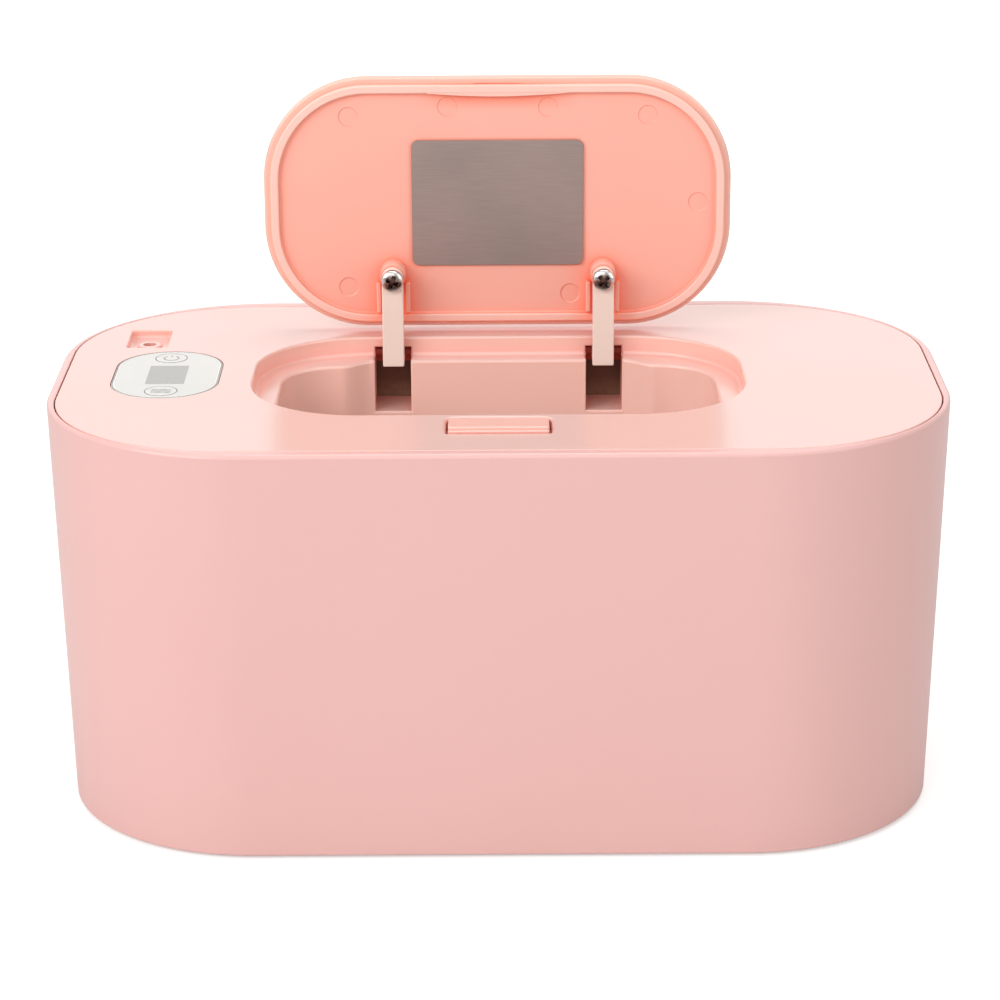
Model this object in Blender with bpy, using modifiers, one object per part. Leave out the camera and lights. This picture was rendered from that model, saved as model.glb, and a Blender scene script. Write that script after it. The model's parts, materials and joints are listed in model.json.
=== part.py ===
"""Baby wipe warmer: a tub with a lift-off heated cover, a hinged lid and a release button.

Metres, +Z up, -Y is the front. The origin is the middle of the footprint, on the surface that
the feet stand on. The lid and its arms are built closed, then swung open about the hinge shaft.
"""

import math

import bmesh
import bpy
from mathutils import Matrix

# Clearances, and how far a cutter runs past what it cuts
SEAT_GAP = 0.0003
GROOVE = 0.0004
OVERRUN = 0.001
WELD = 0.00001
SHARPEST = 0.0002

# Rubber feet
FOOT_PROUD = 0.0008
FOOT_RADIUS = 0.006
FOOT_POCKET = 0.001
FOOT_INSET = 0.016

# Outer shell, measured at its top edge
BODY_WIDTH = 0.2250
BODY_DEPTH = 0.1365
BODY_CORNER = 0.0515
BODY_HEIGHT = 0.1045
BODY_DRAFT = 0.0029
SHELL_WALL = 0.0025
RIM_ROUND = 0.0012
RIM_END = 0.0022
RIM_FRONT = 0.00325
RIM_REAR = 0.00425
RIM_CORNER = 0.0065
LEDGE_WIDTH = 0.003
LEDGE_THICKNESS = 0.003

# Base plate and its screws
BASE_PLATE = 0.003
BASE_WALL = 0.0022
BASE_SEAT = 0.006
BASE_SEAT_THICKNESS = 0.002
BASE_BOSS_HEIGHT = 0.006
BASE_BOSS_RADIUS = 0.0036
BASE_SCREW_INSET = 0.0095
BASE_SCREW_HEAD = 0.0026
BASE_SCREW_HEAD_HEIGHT = 0.0012
BASE_SCREW_SHANK = 0.0013
BASE_SCREW_LENGTH = 0.0058

# Inner tank
TANK_WALL = 0.0018
TANK_FLANGE = 0.0018
TANK_LIFT = 0.0007
TANK_DRAFT = 0.0038

# Top cover: plate, skirt, lid recess and dispensing well
PLATE = 0.0025
SKIRT_WALL = 0.0018
SKIRT_CLEARANCE = 0.0015
SKIRT_DEPTH = 0.0217
RECESS_SINK = 0.005
RECESS_WALL = 0.0016
RECESS_ROUND = 0.0007
LEDGE_PLATE = 0.002
WELL_END_LEDGE = 0.0063
WELL_SIDE_LEDGE = 0.005
WELL_JOG_DEPTH = 0.0052
WELL_CORNER_SHARE = 0.25986
WELL_JOG_SHARE = 0.62366
NECK_WALL = 0.002
NECK_SINK = 0.026

# Hinge pockets, shaft and backings
HINGE_SHARE = 0.49821
SLOT_WIDTH = 0.0095
SLOT_TOP_SINK = 0.0028
SLOT_FLOOR_SINK = 0.019
POCKET_WALL = 0.0015
POCKET_ROOF = 0.0019
SHAFT_BEHIND_RECESS = 0.0046
SHAFT_SINK = 0.00495
SHAFT_RADIUS = 0.0012
SHAFT_END = 0.0015
POCKET_BEHIND_SHAFT = 0.0045
POCKET_FROM_SKIRT = 0.0137
BACKING = 0.0012

# Lid: outer cap, inner liner with its ring, arms
LID_END_GAP = 0.0008
LID_SIDE_GAP = 0.0009
LID_CORNER_GAP = 0.0006
LID_FORWARD = 0.0003
LID_CORNER = 0.0274
LID_EDGE = 0.0024
LID_ROUND = 0.0008
LID_SKIN = 0.0015
LID_BAND = 0.00215
LID_SWING = math.radians(90)
LID_DRAFT = 0.00035
LINER = 0.0015
RING_WIDTH = 0.0019
RING_PROUD = 0.0023
ARM_WIDTH = 0.0056
ARM_THICKNESS = 0.0024
ARM_OFFSET = 0.0061
ARM_TAIL = 0.00215
ARM_REACH = 0.02145
ARM_END = 0.003
ARM_INWARD = 0.0002
BARREL_RADIUS = 0.0023
ARM_BOSS_RADIUS = 0.0033
ARM_SCREW_HEAD = 0.0029
ARM_SCREW_HEAD_HEIGHT = 0.002
ARM_SCREW_SHANK = 0.0012
ARM_SCREW_LENGTH = 0.0065
RIB_CHANNEL = 0.0088
RIB = 0.0012
RIB_HEIGHT = 0.003
RIB_FROM_EDGE = 0.0048
RIB_LENGTH = 0.0095
LIP_LENGTH = 0.036
LIP_BULGE = 0.0013
CATCH_LENGTH = 0.0123
CATCH_DEPTH = 0.0009
LABEL_FROM_ARM = 0.00515
LABEL_DEPTH_SHARE = 0.48958
LABEL_FORWARD = 0.0006
LABEL_CORNER = 0.0018
LABEL = 0.0004

# Release button and its spring
BUTTON_SLOT_WIDTH = 0.0254
BUTTON_SLOT_DEPTH = 0.0129
BUTTON_BRIDGE = 0.0024
BUTTON_FROM_SKIRT = 0.0051
BUTTON_REAR_CORNER = 0.0026
BUTTON_FRONT_CORNER = 0.0012
BUTTON_SIDE_GAP = 0.0005
BUTTON_PROUD = 0.0013
BUTTON_FLANGE = 0.0014
BUTTON_FLANGE_REACH = 0.0011
BUTTON_STEP = 0.0008
BUTTON_TRAVEL = 0.0012
HOOK_WIDTH = 0.008
HOOK_WINDOW_MARGIN = 0.0006
SPRING_WIRE = 0.00035
SPRING_RADIUS = 0.0028
SPRING_LENGTH = 0.0105
SPRING_TURNS = 6
POST_RADIUS = 0.0019
POST_LENGTH = 0.0036
SEAT_RADIUS = 0.0039

# Control panel in the left end of the plate
LENS_WIDTH = 0.027
LENS_DEPTH = 0.0414
LENS_CORNER = 0.0134
LENS = 0.0012
LENS_CENTRE_Y = -0.0006
LENS_MARGIN = 0.0002
DISPLAY_WIDTH = 0.0118
DISPLAY_DEPTH = 0.018
DISPLAY_HEIGHT = 0.004
BOARD_WIDTH = 0.030
BOARD_DEPTH = 0.052
BOARD = 0.0016
BOARD_FROM_END = 0.0108
BOARD_FROM_RECESS = 0.007
BOARD_BOSS_RADIUS = 0.0024
BOARD_HOLE_INSET = 0.004
BOARD_SCREW_HEAD = 0.002
BOARD_SCREW_HEAD_HEIGHT = 0.0013
BOARD_SCREW_SHANK = 0.001
BOARD_SCREW_LENGTH = 0.0038
TOUCH_SPACING = 0.0149
TOUCH_RADIUS = 0.0036

# Power inlet behind the panel
INLET_WIDTH = 0.0106
INLET_DEPTH = 0.0168
INLET_SINK = 0.0022
INLET_FLOOR = 0.002
INLET_WALL = 0.0015
INLET_CORNER = 0.0008
INLET_FROM_BOARD_END = 0.0072
INLET_BEHIND_LENS = 0.0042
JACK_HOLE_RADIUS = 0.00215
JACK_HOLE_BACK = 0.0018
JACK_WIDTH = 0.0064
JACK_DEPTH = 0.0084
JACK_HEIGHT = 0.0095
JACK_BORE = 0.0017
JACK_BORE_SINK = 0.0075
JACK_PIN = 0.0005

# Under cover, heater and the sensors on it
UNDER_COVER = 0.0016
COVER_BOSS_RADIUS = 0.0035
COVER_BOSS_INTO_SKIRT = 0.0005
COVER_SCREW_HEAD = 0.0026
COVER_SCREW_HEAD_HEIGHT = 0.0016
COVER_SCREW_SHANK = 0.0013
COVER_SCREW_LENGTH = 0.009
COVER_BORE = 0.0117
FRONT_SCREW_X = 0.030
FILM = 0.0004
HEATER_PLATE = 0.0008
HEATER_INSET = 0.0175
HEATER_FRONT_INSET = 0.0107
HEATER_CORNER = 0.034
FILM_INSET = 0.001
FUSE_RADIUS = 0.0017
FUSE_LENGTH = 0.010
BEAD_RADIUS = 0.0012
BEAD_LENGTH = 0.004
SENSOR_WINDOW_MARGIN = 0.003
SENSOR_FROM_NECK = 0.0135
SENSOR_SPACING = 0.028
LEAD_RADIUS = 0.0006

# How far in from its two ends a quarter round lies at its middle, as a share of its radius
HALFWAY_SHARE = 1 - math.sqrt(0.5)

# Counts
CORNER_STEPS = 8
JOG_STEPS = 6
SCREW_SIDES = 12
ROUND_SIDES = 20
SPRING_POINTS = 10
LIP_STEPS = 10
ROUTE_STEPS = 4

# Heights that follow from the sizes above
SHELL_BOTTOM = FOOT_PROUD
TOP = SHELL_BOTTOM + BODY_HEIGHT
PLATE_UNDER = TOP - PLATE
FLANGE_TOP = PLATE_UNDER - SEAT_GAP
FLANGE_UNDER = FLANGE_TOP - TANK_FLANGE
LEDGE_TOP = FLANGE_UNDER - SEAT_GAP
SEAT_UNDER = SHELL_BOTTOM + BASE_PLATE + SEAT_GAP
SKIRT_END = TOP - SKIRT_DEPTH
UNDER_TOP = SKIRT_END - SEAT_GAP
UNDER_BOTTOM = UNDER_TOP - UNDER_COVER
FILM_TOP = UNDER_BOTTOM - SEAT_GAP
FILM_BOTTOM = FILM_TOP - FILM
HEATER_TOP = FILM_BOTTOM - SEAT_GAP
HEATER_BOTTOM = HEATER_TOP - HEATER_PLATE
LEDGE_LEVEL = TOP - RECESS_SINK
SHAFT_Z = TOP - SHAFT_SINK

# Lengths and depths that follow, from the body's walls in to the lid and its label
TANK_TOP_INSET = LEDGE_WIDTH + SEAT_GAP
SKIRT_INSET = TANK_TOP_INSET + TANK_WALL + SKIRT_CLEARANCE
SKIRT_INNER = SKIRT_INSET + SKIRT_WALL
END_PLATE = RIM_END + GROOVE + BOARD_FROM_END + BOARD_WIDTH + BOARD_FROM_RECESS
FRONT_PLATE = RIM_FRONT + SKIRT_INNER + BUTTON_FROM_SKIRT + BUTTON_SLOT_DEPTH + BUTTON_BRIDGE
REAR_PLATE = RIM_REAR + SKIRT_INNER + POCKET_FROM_SKIRT + POCKET_BEHIND_SHAFT + SHAFT_BEHIND_RECESS
PLATE_CORNER = BODY_CORNER - RIM_CORNER
RECESS_LENGTH = BODY_WIDTH - 2 * END_PLATE
RECESS_DEPTH = BODY_DEPTH - FRONT_PLATE - REAR_PLATE
RECESS_CENTRE_Y = (FRONT_PLATE - REAR_PLATE) / 2
LID_LENGTH = RECESS_LENGTH - 2 * LID_END_GAP
LID_DEPTH = RECESS_DEPTH - 2 * LID_SIDE_GAP
RECESS_CORNER = LID_CORNER + LID_CORNER_GAP
WELL_LENGTH = RECESS_LENGTH - 2 * WELL_END_LEDGE
WELL_MID_DEPTH = RECESS_DEPTH - 2 * WELL_SIDE_LEDGE
WELL_END_DEPTH = WELL_MID_DEPTH - 2 * WELL_JOG_DEPTH
WELL_CORNER = WELL_LENGTH / 2 * WELL_CORNER_SHARE
WELL_JOG_INNER = WELL_LENGTH / 2 * WELL_JOG_SHARE
HINGE_X = WELL_LENGTH / 2 * HINGE_SHARE
ARM_X = HINGE_X - ARM_INWARD
LABEL_WIDTH = 2 * (ARM_X - LABEL_FROM_ARM)
LABEL_DEPTH = LID_DEPTH * LABEL_DEPTH_SHARE

# Plan outlines that pieces share: width, depth, corner radius, centre
POCKET_WIDTH = BODY_WIDTH - 2 * RIM_END
POCKET_DEPTH = BODY_DEPTH - RIM_FRONT - RIM_REAR
POCKET_CENTRE = (0, (RIM_FRONT - RIM_REAR) / 2)
PLATE_POCKET = (POCKET_WIDTH, POCKET_DEPTH, PLATE_CORNER, POCKET_CENTRE)
RECESS = (RECESS_LENGTH, RECESS_DEPTH, RECESS_CORNER, (0, RECESS_CENTRE_Y))
LID_CENTRE_Y = RECESS_CENTRE_Y - LID_FORWARD
LID = (LID_LENGTH, LID_DEPTH, LID_CORNER, (0, LID_CENTRE_Y))
RECESS_REAR = RECESS_CENTRE_Y + RECESS_DEPTH / 2
RECESS_FRONT = RECESS_CENTRE_Y - RECESS_DEPTH / 2
LID_REAR = LID_CENTRE_Y + LID_DEPTH / 2
LID_FRONT = LID_CENTRE_Y - LID_DEPTH / 2
SHAFT_Y = RECESS_REAR + SHAFT_BEHIND_RECESS
POCKET_REAR = SHAFT_Y + POCKET_BEHIND_SHAFT
LENS_X = GROOVE + BOARD_FROM_END + BOARD_WIDTH / 2 - POCKET_WIDTH / 2
INLET_X = LENS_X - BOARD_WIDTH / 2 + INLET_FROM_BOARD_END
INLET_Y = LENS_CENTRE_Y + LENS_DEPTH / 2 + INLET_BEHIND_LENS + INLET_DEPTH / 2
JACK_Y = INLET_Y + JACK_HOLE_BACK
BUTTON_Y = RECESS_FRONT - BUTTON_BRIDGE - BUTTON_SLOT_DEPTH / 2
HEATER_WIDTH = POCKET_WIDTH - 2 * (SKIRT_INSET + HEATER_INSET)
HEATER_DEPTH = POCKET_DEPTH - 2 * (SKIRT_INSET + HEATER_FRONT_INSET)


def srgb(red, green, blue):
    """A colour given as it shows on a screen, 0 to 255, as Blender's linear values."""
    shares = (red / 255, green / 255, blue / 255)
    return tuple(share / 12.92 if share < 0.04 else ((share + 0.055) / 1.055) ** 2.4 for share in shares)


FINISHES = {
    "pink_shell": (srgb(240, 192, 186), 0.35, 0),
    "pink_cover": (srgb(247, 208, 199), 0.35, 0),
    "pink_lid": (srgb(250, 184, 168), 0.35, 0),
    "pink_liner": (srgb(255, 175, 160), 0.4, 0),
    "white_tank": (srgb(240, 236, 230), 0.4, 0),
    "natural_nylon": (srgb(238, 218, 208), 0.35, 0),
    "clear_panel": (srgb(232, 233, 227), 0.15, 0),
    "display_glass": (srgb(195, 194, 188), 0.25, 0),
    "silver_label": (srgb(165, 152, 147), 0.35, 0.4),
    "dark_plastic": (srgb(75, 47, 35), 0.6, 0),
    "black_plastic": (srgb(30, 30, 32), 0.5, 0),
    "rubber": (srgb(150, 120, 115), 0.9, 0),
    "steel": (srgb(200, 200, 202), 0.2, 1),
    "aluminium": (srgb(205, 206, 208), 0.35, 1),
    "copper_film": (srgb(190, 120, 60), 0.4, 0.3),
    "green_board": (srgb(40, 105, 60), 0.5, 0),
    "foam": (srgb(60, 60, 64), 0.95, 0),
    "lead_red": (srgb(180, 40, 35), 0.5, 0),
    "lead_white": (srgb(225, 225, 220), 0.5, 0),
}


def clear_scene():
    for obj in list(bpy.data.objects):
        bpy.data.objects.remove(obj, do_unlink=True)


def new_collection(name):
    collection = bpy.data.collections.new(name)
    bpy.context.scene.collection.children.link(collection)
    return collection


def material_named(name):
    """The material of that name, made from its finish the first time it is asked for."""
    material = bpy.data.materials.get(name)
    if material:
        return material
    colour, roughness, metallic = FINISHES[name]
    material = bpy.data.materials.new(name)
    material.use_nodes = True
    shader = material.node_tree.nodes["Principled BSDF"]
    shader.inputs["Base Color"].default_value = (*colour, 1)
    shader.inputs["Roughness"].default_value = roughness
    shader.inputs["Metallic"].default_value = metallic
    material.diffuse_color = (*colour, 1)
    return material


clear_scene()
PARTS = new_collection("baby_wipe_warmer")
CUTTERS = new_collection("cutters")


def add_object(name, mesh):
    """A new object among the helpers. finish() makes it a part, cut() and join() use it as it is."""
    obj = bpy.data.objects.new(name, mesh)
    CUTTERS.objects.link(obj)
    obj.hide_render = True
    obj.display_type = "WIRE"
    return obj


def finish(obj, material, parent):
    """Makes a helper a part of the model, with its material, on the body's empty."""
    CUTTERS.objects.unlink(obj)
    PARTS.objects.link(obj)
    obj.hide_render = False
    obj.display_type = "TEXTURED"
    obj.data.materials.clear()
    obj.data.materials.append(material_named(material))
    ride(obj, parent)
    for modifier in obj.modifiers:
        if modifier.type == "BOOLEAN":
            ride(modifier.object, parent)
            for inner in modifier.object.modifiers:
                if inner.type == "BOOLEAN":
                    ride(inner.object, parent)
    return obj


def ride(obj, parent):
    obj.parent = parent
    obj.matrix_parent_inverse = Matrix.Translation(parent.location).inverted()


def body(name, location=(0, 0, 0)):
    """An empty that carries the pieces of one rigid body."""
    empty = bpy.data.objects.new(name, None)
    PARTS.objects.link(empty)
    empty.location = location
    return empty


def boolean(target, other, operation):
    modifier = target.modifiers.new(operation.title(), "BOOLEAN")
    modifier.operation = operation
    modifier.solver = "EXACT"
    modifier.object = other


def cut(target, *others):
    for other in others:
        boolean(target, other, "DIFFERENCE")


def join(target, *others):
    for other in others:
        boolean(target, other, "UNION")


def mesh_from(curve_object):
    """The curve as a mesh object with its caps welded on. The curve is removed."""
    bpy.context.view_layer.update()
    graph = bpy.context.evaluated_depsgraph_get()
    mesh = bpy.data.meshes.new_from_object(curve_object.evaluated_get(graph))
    shape = bmesh.new()
    shape.from_mesh(mesh)
    bmesh.ops.remove_doubles(shape, verts=shape.verts, dist=WELD)
    bmesh.ops.recalc_face_normals(shape, faces=shape.faces)
    shape.to_mesh(mesh)
    shape.free()
    name = curve_object.name
    matrix = curve_object.matrix_world.copy()
    bpy.data.objects.remove(curve_object, do_unlink=True)
    obj = add_object(name, mesh)
    obj.matrix_world = matrix
    return obj


def curve_object(name, points, cyclic=False):
    curve = bpy.data.curves.new(name, "CURVE")
    spline = curve.splines.new("POLY")
    spline.points.add(len(points) - 1)
    for target, point in zip(spline.points, points):
        target.co = (*point, 1)
    spline.use_cyclic_u = cyclic
    obj = bpy.data.objects.new(name, curve)
    PARTS.objects.link(obj)
    return obj


def flat_piece(name, outline, bottom, top):
    """A plate of the given outline between two heights."""
    obj = curve_object(name, [(x, y, 0) for x, y in outline], cyclic=True)
    obj.data.dimensions = "2D"
    obj.data.fill_mode = "BOTH"
    obj.data.extrude = (top - bottom) / 2
    obj.location.z = (top + bottom) / 2
    return mesh_from(obj)


def wire(name, points, radius, resolution=1):
    """A round wire with filled caps along a list of points."""
    obj = curve_object(name, points)
    obj.data.dimensions = "3D"
    obj.data.bevel_depth = radius
    obj.data.bevel_resolution = resolution
    obj.data.use_fill_caps = True
    return mesh_from(obj)


def loft(name, rings):
    """A solid through outlines that have as many points as each other, each with its height."""
    shape = bmesh.new()
    rows = [[shape.verts.new((x, y, height)) for x, y in outline] for outline, height in rings]
    for lower, upper in zip(rows, rows[1:]):
        for i in range(len(lower)):
            shape.faces.new((lower[i - 1], lower[i], upper[i], upper[i - 1]))
    shape.faces.new(list(reversed(rows[0])))
    shape.faces.new(rows[-1])
    mesh = bpy.data.meshes.new(name)
    shape.to_mesh(mesh)
    shape.free()
    return add_object(name, mesh)


def box(name, low, high):
    """A box between two corners."""
    shape = bmesh.new()
    bmesh.ops.create_cube(shape, size=1)
    size = [b - a for a, b in zip(low, high)]
    centre = [(a + b) / 2 for a, b in zip(low, high)]
    bmesh.ops.scale(shape, vec=size, verts=shape.verts)
    bmesh.ops.translate(shape, vec=centre, verts=shape.verts)
    mesh = bpy.data.meshes.new(name)
    shape.to_mesh(mesh)
    shape.free()
    return add_object(name, mesh)


def cylinder(name, radius, bottom, top, x=0, y=0, sides=ROUND_SIDES):
    """An upright cylinder between two heights."""
    shape = bmesh.new()
    bmesh.ops.create_cone(
        shape, cap_ends=True, segments=sides, radius1=radius, radius2=radius, depth=top - bottom
    )
    mesh = bpy.data.meshes.new(name)
    shape.to_mesh(mesh)
    shape.free()
    obj = add_object(name, mesh)
    obj.location = (x, y, (bottom + top) / 2)
    return obj


def rod(name, radius, left, right, y, z, sides=ROUND_SIDES):
    """A cylinder lying along X."""
    obj = cylinder(name, radius, left, right, sides=sides)
    obj.location = ((left + right) / 2, y, z)
    obj.rotation_euler.y = math.pi / 2
    return obj


def turned(name, profile, sides):
    """A turned solid about its own Z axis. The profile runs down its outer side."""
    mesh = bpy.data.meshes.new(name)
    edges = [(i, i + 1) for i in range(len(profile) - 1)]
    mesh.from_pydata([(radius, 0, height) for radius, height in profile], edges, [])
    obj = add_object(name, mesh)
    screw = obj.modifiers.new("Turn", "SCREW")
    screw.steps = sides
    screw.render_steps = sides
    screw.use_merge_vertices = True
    screw.merge_threshold = WELD
    return obj


def rounded(width, depth, corner, centre=(0, 0), inset=0, front_corner=None):
    """A rounded rectangle, anticlockwise from above, drawn in by an inset."""
    half_x = width / 2 - inset
    half_y = depth / 2 - inset
    largest = min(half_x, half_y) - SHARPEST
    points = []
    for quarter in range(4):
        chosen = corner if quarter < 2 or front_corner is None else front_corner
        radius = min(max(chosen - inset, SHARPEST), largest)
        side_x = 1 if quarter in (0, 3) else -1
        side_y = 1 if quarter < 2 else -1
        for step in range(CORNER_STEPS + 1):
            angle = (quarter + step / CORNER_STEPS) * math.pi / 2
            x = centre[0] + side_x * (half_x - radius) + radius * math.cos(angle)
            y = centre[1] + side_y * (half_y - radius) + radius * math.sin(angle)
            points.append((x, y))
    return points


def well(inset=0):
    """The dispensing opening: its middle is deeper than its round ends, with an S-curve between."""
    half_x = WELL_LENGTH / 2 - inset
    end_y = WELL_END_DEPTH / 2 - inset
    mid_y = WELL_MID_DEPTH / 2 - inset
    radius = min(WELL_CORNER, WELL_END_DEPTH / 2 - SHARPEST) - inset
    quarter = []
    for step in range(CORNER_STEPS + 1):
        angle = step / CORNER_STEPS * math.pi / 2
        x = half_x - radius + radius * math.cos(angle)
        quarter.append((x, end_y - radius + radius * math.sin(angle)))
    outer = half_x - radius
    inner = WELL_JOG_INNER - inset
    for step in range(1, JOG_STEPS + 1):
        share = step / JOG_STEPS
        rise = (1 - math.cos(share * math.pi)) / 2
        quarter.append((outer + (inner - outer) * share, end_y + (mid_y - end_y) * rise))
    upper = quarter + [(-x, y) for x, y in reversed(quarter)]
    points = upper + [(x, -y) for x, y in reversed(upper)]
    return [(x, y + RECESS_CENTRE_Y) for x, y in points]


def cross_outline(length, width):
    """A plus sign, for the drive of a screw."""
    far = length / 2
    near = width / 2
    corner = [(far, near), (near, near), (near, far)]
    points = []
    for turn in range(4):
        cosine = round(math.cos(turn * math.pi / 2))
        sine = round(math.sin(turn * math.pi / 2))
        points += [(x * cosine - y * sine, x * sine + y * cosine) for x, y in corner]
    return points


def screw(name, head, head_height, shank, length, x, y, z, parent):
    """A pan-head cross-drive screw. z is under its head, which hangs down; the shank points up."""
    cross_length_share = 1.15
    cross_width_share = 0.34
    cross_depth_share = 0.6
    side_share = 0.45
    crown_share = 0.85
    crown_radius_share = 0.8
    profile = [
        (0, length),
        (shank, length - shank),
        (shank, 0),
        (head, 0),
        (head, -head_height * side_share),
        (head * crown_radius_share, -head_height * crown_share),
        (0, -head_height),
    ]
    obj = turned(name, profile, SCREW_SIDES)
    drive = flat_piece(
        name + "_drive",
        cross_outline(head * cross_length_share, head * cross_width_share),
        -head_height - OVERRUN,
        -head_height * (1 - cross_depth_share),
    )
    drive.location.x = x
    drive.location.y = y
    drive.location.z += z
    drive.rotation_euler.z = math.pi / SCREW_SIDES / 2
    obj.location = (x, y, z)
    cut(obj, drive)
    return finish(obj, "steel", parent)


def between(a, b, c, d, t):
    """The value a share t of the way from b to c, on a smooth curve that passes a, b, c and d."""
    squared = (2 * a - 5 * b + 4 * c - d) * t**2
    cubed = (3 * b - a - 3 * c + d) * t**3
    return b + ((c - a) * t + squared + cubed) / 2


def smooth_route(points):
    """Points of a smooth curve through the route's own points."""
    ends = [points[0]] + points + [points[-1]]
    route = []
    for a, b, c, d in zip(ends, ends[1:], ends[2:], ends[3:]):
        for step in range(ROUTE_STEPS):
            t = step / ROUTE_STEPS
            route.append(tuple(between(*axis, t) for axis in zip(a, b, c, d)))
    return route + [points[-1]]


def body_inset(height):
    """How far the outer wall is drawn in at a height, compared with its top edge."""
    return BODY_DRAFT * (TOP - height) / BODY_HEIGHT


def body_ring(height, inset=0):
    total = body_inset(height) + inset
    return (rounded(BODY_WIDTH, BODY_DEPTH, BODY_CORNER, inset=total), height)


def flat_ring(outline, inset, height):
    width, depth, corner, centre = outline
    return (rounded(width, depth, corner, centre, inset), height)


def corner_places(width, depth, inset):
    """Four places on the rounded corners' diagonals, an inset in from a rounded outline."""
    reach = (BODY_CORNER - inset) * math.sqrt(0.5)
    x = width / 2 - BODY_CORNER + reach
    y = depth / 2 - BODY_CORNER + reach
    return [(x, y), (-x, y), (-x, -y), (x, -y)]


BOTTOM_WIDTH = BODY_WIDTH - 2 * BODY_DRAFT
BOTTOM_DEPTH = BODY_DEPTH - 2 * BODY_DRAFT
BASE_SCREW_PLACES = corner_places(BOTTOM_WIDTH, BOTTOM_DEPTH, BASE_SCREW_INSET)
FOOT_PLACES = corner_places(BOTTOM_WIDTH, BOTTOM_DEPTH, BASE_SCREW_INSET + FOOT_INSET)


def make_outer_shell(parent):
    halfway = RIM_ROUND * HALFWAY_SHARE
    rings = [
        body_ring(SHELL_BOTTOM, RIM_ROUND),
        body_ring(SHELL_BOTTOM + halfway, halfway),
        body_ring(SHELL_BOTTOM + RIM_ROUND),
        body_ring(TOP - RIM_ROUND),
        body_ring(TOP - halfway, halfway),
        body_ring(TOP, RIM_ROUND),
    ]
    shell = loft("outer_shell", rings)
    ledge_under = LEDGE_TOP - LEDGE_THICKNESS
    hollow_bottom = SEAT_UNDER + BASE_SEAT_THICKNESS
    hollow = loft(
        "shell_hollow",
        [body_ring(hollow_bottom, SHELL_WALL), body_ring(ledge_under, SHELL_WALL)],
    )
    mouth = loft(
        "shell_mouth",
        [flat_ring(PLATE_POCKET, 0, LEDGE_TOP), flat_ring(PLATE_POCKET, 0, TOP + OVERRUN)],
    )
    throat = loft(
        "shell_throat",
        [
            flat_ring(PLATE_POCKET, LEDGE_WIDTH, ledge_under - OVERRUN),
            flat_ring(PLATE_POCKET, LEDGE_WIDTH, LEDGE_TOP + OVERRUN),
        ],
    )
    underside = flat_piece(
        "shell_underside", body_ring(SHELL_BOTTOM, BASE_WALL)[0], SHELL_BOTTOM - OVERRUN, SEAT_UNDER
    )
    seat_inset = BASE_WALL + BASE_SEAT
    seat_hole = flat_piece(
        "shell_seat_hole",
        body_ring(SHELL_BOTTOM, seat_inset)[0],
        SEAT_UNDER - OVERRUN,
        hollow_bottom + OVERRUN,
    )
    cut(shell, hollow, mouth, throat, underside, seat_hole)
    boss_top = SEAT_UNDER + BASE_BOSS_HEIGHT
    for number, (x, y) in enumerate(BASE_SCREW_PLACES, 1):
        boss = cylinder(f"base_boss_{number}", BASE_BOSS_RADIUS, SEAT_UNDER, boss_top, x, y)
        join(shell, boss)
    radius = BASE_SCREW_SHANK + SEAT_GAP
    bore_ends = (SEAT_UNDER - OVERRUN, boss_top - 2 * SEAT_GAP)
    for number, (x, y) in enumerate(BASE_SCREW_PLACES, 1):
        cut(shell, cylinder(f"base_bore_{number}", radius, *bore_ends, x, y))
    return finish(shell, "pink_shell", parent)


def make_base(parent):
    outline = body_ring(SHELL_BOTTOM, BASE_WALL + GROOVE)[0]
    plate = flat_piece("base_plate", outline, SHELL_BOTTOM, SHELL_BOTTOM + BASE_PLATE)
    head_top = SHELL_BOTTOM + SEAT_GAP + BASE_SCREW_HEAD_HEIGHT
    below = SHELL_BOTTOM - OVERRUN
    above = SHELL_BOTTOM + BASE_PLATE + OVERRUN
    for number, (x, y) in enumerate(BASE_SCREW_PLACES, 1):
        radius = BASE_SCREW_HEAD + SEAT_GAP
        sink = cylinder(f"base_sink_{number}", radius, below, head_top + SEAT_GAP, x, y)
        radius = BASE_SCREW_SHANK + SEAT_GAP
        hole = cylinder(f"base_hole_{number}", radius, head_top, above, x, y)
        cut(plate, sink, hole)
        screw(
            f"base_screw_{number}",
            BASE_SCREW_HEAD,
            BASE_SCREW_HEAD_HEIGHT,
            BASE_SCREW_SHANK,
            BASE_SCREW_LENGTH,
            x,
            y,
            head_top,
            parent,
        )
    pocket_top = SHELL_BOTTOM + FOOT_POCKET
    for number, (x, y) in enumerate(FOOT_PLACES, 1):
        cut(plate, cylinder(f"foot_pocket_{number}", FOOT_RADIUS + SEAT_GAP, below, pocket_top, x, y))
        foot = cylinder(f"rubber_foot_{number}", FOOT_RADIUS, 0, pocket_top - SEAT_GAP, x, y)
        finish(foot, "rubber", parent)
    finish(plate, "pink_shell", parent)


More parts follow.
